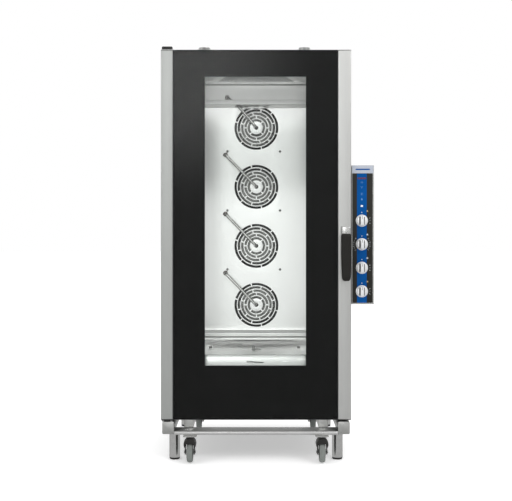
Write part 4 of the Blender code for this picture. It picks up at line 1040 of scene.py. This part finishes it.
def door():
    caps = bmesh.new()
    for side in ("left", "right"):
        low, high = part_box(f"door_profile_{side}")
        bm = bmesh.new()
        outer_outline = round_outline((low.x, low.y), (high.x, high.y), 0.0045, 5)
        inner_outline = round_outline(
            (low.x + 0.003, low.y + 0.003), (high.x - 0.003, high.y - 0.003), 0.0015, 5,
        )
        groove = 0.0028
        bottom, top = low.z + groove, high.z - groove
        rings = [
            [(x, y, bottom) for x, y in outer_outline], [(x, y, top) for x, y in outer_outline],
            [(x, y, top) for x, y in inner_outline], [(x, y, bottom) for x, y in inner_outline],
        ]
        loft(bm, rings, closed=True)
        # painted light: the right profile takes the lighter copy of the same aluminium
        look = ALUMINIUM if side == "left" else LIT_SIDE_ALUMINIUM
        piece(
            f"aluminium_profile_{side}", bm, look, "door", [f"door_profile_{side}"],
            bevel=0.0004,
        )
        for start, end in ((low.z, bottom - 0.0001), (top + 0.0001, high.z)):
            soft_block(
                caps, (low.x - 0.0004, high.x + 0.0004), (low.y - 0.0004, high.y), (start, end), "Z",
                0.0048, 0.0008,
            )
    piece("door_end_caps", caps, BLACK, "door")
    keep("door_outer_glass", GLASS)
    keep("door_inner_glass", GLASS)
    frame_low, frame_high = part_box("door_frame")
    window = (BODY_X - 0.2275, 0.4268, BODY_X + 0.2222, 1.7142)
    edge = (frame_low.x, frame_low.z, frame_high.x, frame_high.z)
    lip = 0.014
    front = frame_low.y
    back = frame_high.y
    section = [
        ("inner", 0, front), ("outer", 0, front), ("outer", 0, back), ("outer", -0.002, back),
        ("outer", -0.002, front + 0.002), ("inner", lip + 0.002, front + 0.002),
        ("inner", lip + 0.002, back),
        ("inner", lip, back), ("inner", lip, front + 0.0012), ("inner", 0, front + 0.0012),
    ]
    bm = bmesh.new()
    mitred_ring(bm, window, edge, section)
    piece("black_door_border", bm, ENAMEL, "door", ["door_frame"], sharp=20)
    strips = bmesh.new()
    for x in (GLASS_LOW.x, GLASS_HIGH.x):
        soft_block(
            strips, about(x, 0.0012), (GLASS_LOW.y - 0.0006, GLASS_HIGH.y), (GLASS_LOW.z, GLASS_HIGH.z),
            "Z", 0.0006, 0.0004,
        )
    for z in (GLASS_LOW.z, GLASS_HIGH.z):
        soft_block(
            strips, (GLASS_LOW.x, GLASS_HIGH.x), (GLASS_LOW.y - 0.0006, GLASS_HIGH.y), about(z, 0.0010),
            "X", 0.0006, 0.0004,
        )
    piece("glass_edge_seals", strips, SILICONE, "door")
    inner_low, inner_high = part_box("door_inner_glass")
    clips = bmesh.new()
    for z in (0.36, 0.80, 1.25, 1.70):
        for x in (inner_low.x + 0.004, inner_high.x - 0.026):
            soft_block(
                clips, (x, x + 0.022), (inner_high.y, inner_high.y + 0.0008), (z, z + 0.034), "Y", 0.003,
                0.0003,
            )
    piece("inner_glass_clips", clips, SCREW_STEEL, "door")
    gasket = bmesh.new()
    seal_low, seal_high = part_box("door_seal")
    width = 0.018
    opening = (seal_low.x + width, seal_low.z + width, seal_high.x - width, seal_high.z - width)
    outer = (seal_low.x, seal_low.z, seal_high.x, seal_high.z)
    centre = (seal_low.y + seal_high.y) / 2
    depth = (seal_high.y - seal_low.y) / 2
    section = []
    for step in range(12):
        angle = 2 * pi * step / 12
        section.append(("inner", width / 2 * (1 + cos(angle)), centre + depth * sin(angle)))
    mitred_ring(gasket, opening, outer, section)
    piece("silicone_door_gasket", gasket, SILICONE, "oven", ["door_seal"], sharp=50)


def handle():
    boss_low, boss_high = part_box("handle_boss")
    grip_low, grip_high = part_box("door_handle")
    pivot = Vector(JOINTS["handle_turn"]["pos_m"])
    block_piece(
        "handle_mounting_boss", BRIGHT_ALUMINIUM, "door", "aluminium", (boss_low.x, boss_high.x),
        (boss_low.y + 0.0005, boss_high.y), about(pivot.z, 0.018), "Y", 0.006, 0.003,
        stands_for=["handle_boss"],
    )
    hub = bmesh.new()
    soft_block(
        hub, about(pivot.x, 0.0195), (grip_low.y + 0.012, boss_low.y - 0.0002),
        (pivot.z - 0.030, pivot.z + 0.0175), "Y", 0.008, 0.004,
    )
    spindle = [(0.0060, boss_low.y - 0.001), (0.0060, grip_high.y)]
    turned(hub, spindle, pivot, "Y", 32)
    cam_back = grip_high.y
    soft_block(
        hub, about(pivot.x, 0.0055), (cam_back - 0.008, cam_back), about(pivot.z, 0.013), "Y", 0.003, 0.001,
    )
    piece("handle_shank_and_latch", hub, BRIGHT_ALUMINIUM, "handle")
    grip = bmesh.new()
    front = grip_low.y
    back = pivot.y - 0.030
    top = pivot.z - 0.0155
    bottom = grip_low.z
    half = (grip_high.x - grip_low.x) / 2
    rings = []
    count = 40
    for step in range(count + 1):
        t = step / count
        z = top + (bottom - top) * t
        from_top = min(1.0, (top - z) / 0.007)
        from_bottom = min(1.0, (z - bottom) / 0.020)
        taper = half - 0.0035 * max(0.0, (t - 0.45) / 0.55)
        width = taper * (0.80 + 0.20 * (1 - (1 - from_top) ** 2) ** 0.5)
        width *= 0.62 + 0.38 * (1 - (1 - from_bottom) ** 2) ** 0.5
        thin = (back - front) / 2 * (0.72 + 0.28 * (1 - (1 - min(from_top, from_bottom)) ** 2) ** 0.5)
        middle = (front + back) / 2
        ring = []
        for turn in range(28):
            angle = 2 * pi * turn / 28
            c, s = cos(angle), sin(angle)
            power = 0.55
            x = width * abs(c) ** power * (1 if c > 0 else -1)
            y = thin * abs(s) ** power * (1 if s > 0 else -1)
            ring.append((pivot.x + x, middle + y, z))
        rings.append(ring)
    loft(grip, rings)
    piece("handle_grip", grip, GRIP, "handle", ["door_handle"], sharp=60)


def hinges():
    for name in ("hinge_top", "hinge_bottom"):
        low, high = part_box(name)
        axis = Vector(JOINTS["door_hinge"]["pos_m"])
        bm = bmesh.new()
        metal = bmesh.new()
        if name == "hinge_top":
            soft_block(
                metal, (low.x, high.x), (low.y, high.y), (LID_HIGH.z + GAP, LID_HIGH.z + 0.0038), "Z",
                0.006, 0.0008,
            )
            soft_block(
                bm, (low.x + 0.001, high.x - 0.001), (low.y + 0.004, -0.344),
                (LID_HIGH.z + 0.0039, high.z), "Z", 0.008, 0.003,
            )
            turned(
                metal, [(0.0065, low.z), (0.007, low.z + 0.001), (0.007, LID_HIGH.z + 0.001)], axis, "Z", 32,
            )
            screw_head(bm, (axis.x, axis.y, high.z - 0.0006), (0, 0, 1), 0.006)
            for dx in (-0.014, 0.014):
                screw_head(metal, (axis.x + dx, high.y - 0.014, LID_HIGH.z + 0.0036), (0, 0, 1), 0.005)
        else:
            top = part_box("door_profile_left")[0].z
            soft_block(metal, (low.x, high.x), (low.y, high.y), (low.z, low.z + 0.004), "Z", 0.006, 0.0008)
            soft_block(
                bm, about(axis.x, 0.0145), (low.y - 0.004, axis.y + 0.020), (low.z - 0.001, top - 0.0004),
                "Z", 0.006, 0.001,
            )
            turned(
                metal, [(0.007, low.z + 0.003), (0.007, high.z - 0.001), (0.0065, high.z)], axis, "Z", 32,
            )
        piece(f"{name}_cover", bm, BLACK, "oven", [name])
        piece(f"{name}_bracket", metal, STAINLESS_ACROSS, "oven")


# ---------------------------------------------------------------- controls


def flat_mark(bm, outline, face, rise=0.00025):
    prism(bm, outline, "Y", face - rise, face + 0.0001)


def bar(x, z, length, width, angle):
    """A small rectangle with its middle at x, z, turned by the angle."""
    along = (cos(angle) * length / 2, sin(angle) * length / 2)
    side = (-sin(angle) * width / 2, cos(angle) * width / 2)
    return [
        (x + along[0] + side[0], z + along[1] + side[1]), (x - along[0] + side[0], z - along[1] + side[1]),
        (x - along[0] - side[0], z - along[1] - side[1]), (x + along[0] - side[0], z + along[1] - side[1]),
    ]


def controls():
    keep("control_housing", STAINLESS, 0.0010)
    low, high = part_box("control_fascia")
    knobs = [Vector(JOINTS[f"knob_{number}_turn"]["pos_m"]) for number in range(1, 5)]
    header = 0.0362
    face = low.y
    block_piece(
        "fascia_panel", GRAPHITE, "oven", "graphite", (low.x + 0.0030, high.x - 0.0052),
        (face + 0.0004, high.y), (low.z + 0.006, high.z - header), "Y", 0.0015, 0.0004,
        stands_for=["control_fascia"],
    )
    edge = bmesh.new()
    outer = (low.x, low.z, high.x, high.z)
    inner = (low.x + 0.0029, low.z + 0.0059, high.x - 0.0051, high.z - header + 0.0001)
    section = [
        ("outer", -0.0008, face), ("outer", 0, face + 0.0008), ("outer", 0, high.y), ("inner", 0, high.y),
        ("inner", 0, face + 0.0002), ("inner", 0.0006, face),
    ]
    mitred_ring(edge, inner, outer, section)
    piece("fascia_edge_frame", edge, BRIGHT_ALUMINIUM, "oven", sharp=20)
    block_piece(
        "fascia_header", HEADER, "oven", "graphite", (low.x + 0.002, high.x - 0.002),
        (face - 0.0006, face + 0.001), (high.z - header + 0.0006, high.z - 0.001), "Y", 0.002, 0.0005,
    )
    rule_z = high.z - header / 2
    block_piece(
        "fascia_header_rule", BLUE, "oven", "graphite", (low.x + 0.018, high.x - 0.018),
        (face - 0.0009, face - 0.0004), about(rule_z, 0.0030), "Y", 0.002, 0.0002,
    )
    middle = knobs[0].x
    strip_half = 0.0217
    strip_top = high.z - header - 0.0006
    block_piece(
        "fascia_blue_strip", BLUE, "oven", "graphite", about(middle, strip_half),
        (face + 0.0001, face + 0.001), (low.z + 0.0065, strip_top), "Y", 0.001, 0.0002,
    )
    lens_z = high.z - 0.058
    block_piece(
        "fascia_indicator_lens", RED, "oven", "graphite", about(middle, 0.0195),
        (face - 0.0008, face + 0.0005), about(lens_z, 0.0040), "Y", 0.003, 0.0006,
    )
    white = bmesh.new()
    amber = bmesh.new()
    pale = bmesh.new()
    icons = [high.z - 0.0765, high.z - 0.098, high.z - 0.128, high.z - 0.1515, high.z - 0.1815]
    for level in (-1, 0, 1):
        flat_mark(pale, bar(middle, icons[0] + level * 0.0026, 0.011, 0.0009, 0), face)
    for turn in range(3):
        angle = turn * 2 * pi / 3 + 0.5
        spot = (middle + 0.0028 * cos(angle), icons[1] + 0.0028 * sin(angle))
        flat_mark(pale, bar(*spot, 0.0055, 0.0016, angle), face)
    for turn in range(8):
        angle = turn * pi / 4
        flat_mark(
            pale, bar(middle + 0.0055 * cos(angle), icons[2] + 0.0055 * sin(angle), 0.0028, 0.0009, angle),
            face,
        )
    flat_mark(pale, circle(middle, icons[2], 0.0026, 18), face)
    turns = [pi * (1.12 * k / 12 - 1.06) for k in range(13)]
    drop = [(middle + 0.0036 * cos(a), icons[3] - 0.001 + 0.0036 * sin(a)) for a in turns]
    flat_mark(pale, drop + [(middle, icons[3] + 0.0060)], face)
    flat_mark(
        white,
        round_outline((middle - 0.0050, icons[4] - 0.0040), (middle + 0.0050, icons[4] + 0.0040), 0.0012),
        face,
    )
    for number, knob in enumerate(knobs):
        flat_mark(white, circle(knob.x, knob.z + 0.0365, 0.0019, 18), face)
        reach = 0.0345
        ticks = 7 if number == 1 else 3
        for tick in range(ticks):
            for side in (-1, 1) if number == 1 else (1,):
                spread = radians(6 * ticks) * (2 * tick / (ticks - 1) - 1)
                angle = spread if side > 0 else pi + spread
                long_tick = 0.0060 if tick % 2 == 0 else 0.0036
                middle_reach = reach + long_tick / 2
                spot = (knob.x + middle_reach * cos(angle), knob.z + middle_reach * sin(angle))
                flat_mark(white, bar(*spot, long_tick, 0.0010, angle), face)
        spot = (knob.x + 0.0245, knob.z + 0.043)
        marks = amber if number in (0, 3) else white
        flat_mark(marks, circle(*spot, 0.0026, 14), face)
        for turn in range(6):
            angle = turn * pi / 3
            flat_mark(
                marks,
                bar(spot[0] + 0.0045 * cos(angle), spot[1] + 0.0045 * sin(angle), 0.0018, 0.0008, angle),
                face,
            )
    piece("fascia_white_marks", white, WHITE, "oven")
    piece("fascia_pale_icons", pale, PALE_BLUE, "oven")
    piece("fascia_amber_marks", amber, AMBER, "oven")
    for number, knob in enumerate(knobs, 1):
        control_knob(number, knob)
    housing_low, housing_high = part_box("control_housing")
    vents = bmesh.new()
    gaps = bmesh.new()
    side_y = (housing_low.y + housing_high.y) / 2 + 0.03
    origin = (housing_high.x, side_y, housing_low.z + 0.07)
    louvres(vents, gaps, origin, (0, 1, 0), (1, 0, 0), 8, 0.018, (0.16, 0.14), 0.003, 0.001)
    for y in (housing_low.y + 0.016, housing_high.y - 0.016):
        for z in (housing_low.z + 0.02, (housing_low.z + housing_high.z) / 2, housing_high.z - 0.02):
            screw_head(vents, (housing_high.x, y, z), (1, 0, 0), 0.004)
    piece("control_housing_louvres", vents, STAINLESS, "oven")
    piece("control_housing_louvre_gaps", gaps, LOUVRE_SHADE, "oven")


def control_knob(number, knob):
    low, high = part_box(f"control_knob_{number}")
    radius = (high.x - low.x) / 2
    bm = bmesh.new()
    front = low.y
    back = front + 0.026
    profile = [
        (0.004, high.y), (0.004, back), (radius - 0.0006, back), (radius, back - 0.0006),
        (radius, back - 0.0028),
        (radius - 0.0012, back - 0.0040), (0.0238, back - 0.0048), (0.0226, back - 0.0150),
        (0.0214, back - 0.0166), (0.0198, back - 0.0172), (0.002, back - 0.0168),
    ]
    turned(bm, profile, knob, "Y", 72)
    soft_block(bm, about(knob.x, 0.0072), (front, back - 0.015), about(knob.z, 0.0212), "Y", 0.0034, 0.0022)
    notches = 36
    for notch in range(notches):
        angle = 2 * pi * notch / notches
        spot = (knob.x + 0.0235 * cos(angle), knob.z + 0.0235 * sin(angle))
        prism(bm, bar(*spot, 0.0012, 0.0012, angle), "Y", back - 0.0145, back - 0.0055)
    piece(f"silver_knob_{number}", bm, SILVER, f"knob_{number}", [f"control_knob_{number}"])
    # painted shade: dark inlays in the grooves either side of the grip bar, the left one wider
    grooves = bmesh.new()
    for start, width in ((-0.0136, 0.0060), (0.0074, 0.0042)):
        depth = back - 0.0182
        soft_block(
            grooves, (knob.x + start, knob.x + start + width), (depth, depth + 0.002),
            about(knob.z, 0.0175), "Y", 0.0012, 0.0003,
        )
    piece(f"knob_groove_shade_{number}", grooves, KNOB_GROOVE_SHADE, f"knob_{number}")
    block_piece(
        f"knob_pointer_{number}", BLACK, f"knob_{number}", "black_plastic", about(knob.x, 0.0009),
        (front - 0.0002, front + 0.0006), (knob.z + 0.006, knob.z + 0.0195), "Y", 0.0006, 0.0002,
    )


# ---------------------------------------------------------------- studio


def area_light(name, place, target, size, power, colour=(1.0, 1.0, 1.0), seen=False):
    data = bpy.data.lights.new(name, "AREA")
    data.shape = "RECTANGLE"
    data.size, data.size_y = size
    data.energy = power
    data.color = colour
    obj = bpy.data.objects.new(name, data)
    bpy.context.scene.collection.objects.link(obj)
    obj.location = place
    obj.rotation_mode = "QUATERNION"
    obj.rotation_quaternion = (Vector(target) - Vector(place)).to_track_quat("-Z", "Y")
    obj.visible_camera = seen
    return obj


GLOW_DIRECTION = Vector((-0.082, -1.0, 0.160)).normalized()


def studio():
    scene = bpy.context.scene
    scene.view_settings.view_transform = "Standard"
    world = bpy.data.worlds.new("studio")
    scene.world = world
    world.use_nodes = True
    tree = world.node_tree
    background = tree.nodes["Background"]
    background.inputs["Color"].default_value = (1.0, 1.0, 1.0, 1.0)
    coords = node(tree, "TexCoord")
    split = node(tree, "SeparateXYZ")
    ramp = node(tree, "MapRange", From_Min=-0.6, From_Max=0.9, To_Min=0.40, To_Max=0.95)
    away = node(tree, "VectorMath")
    away.operation = "DISTANCE"
    away.inputs[1].default_value = GLOW_DIRECTION
    glow = node(tree, "MapRange", From_Min=0.035, From_Max=0.145, To_Min=4.2, To_Max=0.0)
    glow.interpolation_type = "SMOOTHSTEP"
    total = node(tree, "Math")
    tree.links.new(coords.outputs["Generated"], away.inputs[0])
    tree.links.new(away.outputs["Value"], glow.inputs["Value"])
    tree.links.new(ramp.outputs["Result"], total.inputs[0])
    tree.links.new(glow.outputs["Result"], total.inputs[1])
    tree.links.new(coords.outputs["Generated"], split.inputs["Vector"])
    tree.links.new(split.outputs["Z"], ramp.inputs["Value"])
    path = node(tree, "LightPath")
    choose = node(tree, "Mix")
    choose.data_type = "FLOAT"
    tree.links.new(path.outputs["Is Camera Ray"], choose.inputs[0])
    tree.links.new(total.outputs["Value"], choose.inputs[2])
    choose.inputs[3].default_value = 1.0
    tree.links.new(choose.outputs[0], background.inputs["Strength"])

    made, floor_tree, shader = node_tree("pale_floor")
    dust = noise_of(floor_tree, (3.0, 3.0, 3.0), 3.0)
    floor_tree.links.new(
        mixed(floor_tree, ranged(floor_tree, dust, 0.0, 1.0), (0.93, 0.93, 0.93), (0.95, 0.95, 0.95)),
        shader.inputs["Base Color"],
    )
    shader.inputs["Roughness"].default_value = 0.9
    shader.inputs["Specular IOR Level"].default_value = 0.1
    shader.inputs["Emission Color"].default_value = (1.0, 1.0, 1.0, 1.0)
    shader.inputs["Emission Strength"].default_value = 0.35
    bm = bmesh.new()
    bmesh.ops.create_circle(bm, cap_ends=True, radius=30, segments=96)
    mesh = bpy.data.meshes.new("studio_floor")
    bm.to_mesh(mesh)
    bm.free()
    mesh.materials.append(made)
    floor = bpy.data.objects.new("studio_floor", mesh)
    floor.location.z = -0.0005
    floor.visible_glossy = False
    scene.collection.objects.link(floor)

    area_light("key", (2.6, -3.6, 3.4), (0, 0, 0.9), (2.2, 2.2), 45)
    area_light("fill", (-3.4, -3.0, 2.4), (0, 0, 0.9), (2.0, 2.6), 25)
    area_light("back", (0.5, 3.5, 3.0), (0, 0, 1.0), (2.5, 1.5), 60)
    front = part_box("cavity_wrap")[0].y + 0.012
    for name, height, tall, radiance in (("low", 0.87, 0.74, 0.56), ("high", 1.495, 0.51, 0.12)):
        for side, wide, gain in ((0, 0.62, 1.0), (-0.305, 0.05, 1.8), (0.305, 0.05, 1.8)):
            x = BODY_X + side
            y = front + abs(side) * 0.01
            power = gain * radiance * pi * wide * tall
            area_light(f"cavity_front_{name}", (x, y, height), (x, 1.0, height), (wide, tall), power)
    area_light("cavity_ceiling", (BODY_X, -0.16, 1.66), (BODY_X, 0.20, 1.768), (0.56, 0.06), 0.26)
    area_light("cavity_foot", (BODY_X, 0.120, 0.512), (BODY_X, 0.265, 0.470), (0.62, 0.022), 0.22)


def camera():
    data = bpy.data.cameras.new("camera")
    obj = bpy.data.objects.new("camera", data)
    bpy.context.scene.collection.objects.link(obj)
    distance = 4.5
    framed_width = 2.2769
    data.sensor_width = 36.0
    data.lens = distance / framed_width * data.sensor_width
    data.shift_y = -0.0596
    obj.location = (BODY_X, DOOR_LOW.y - distance, 1.076)
    obj.rotation_euler = (pi / 2, 0, 0)
    data.clip_start = 0.05
    data.clip_end = 100
    bpy.context.scene.camera = obj


base_frame()
feet()
castors()
casing()
chimneys()
water_inlet()
cavity_walls()
deflector()
pipes()
fan_wheels()
door()
handle()
hinges()
controls()
studio()
camera()
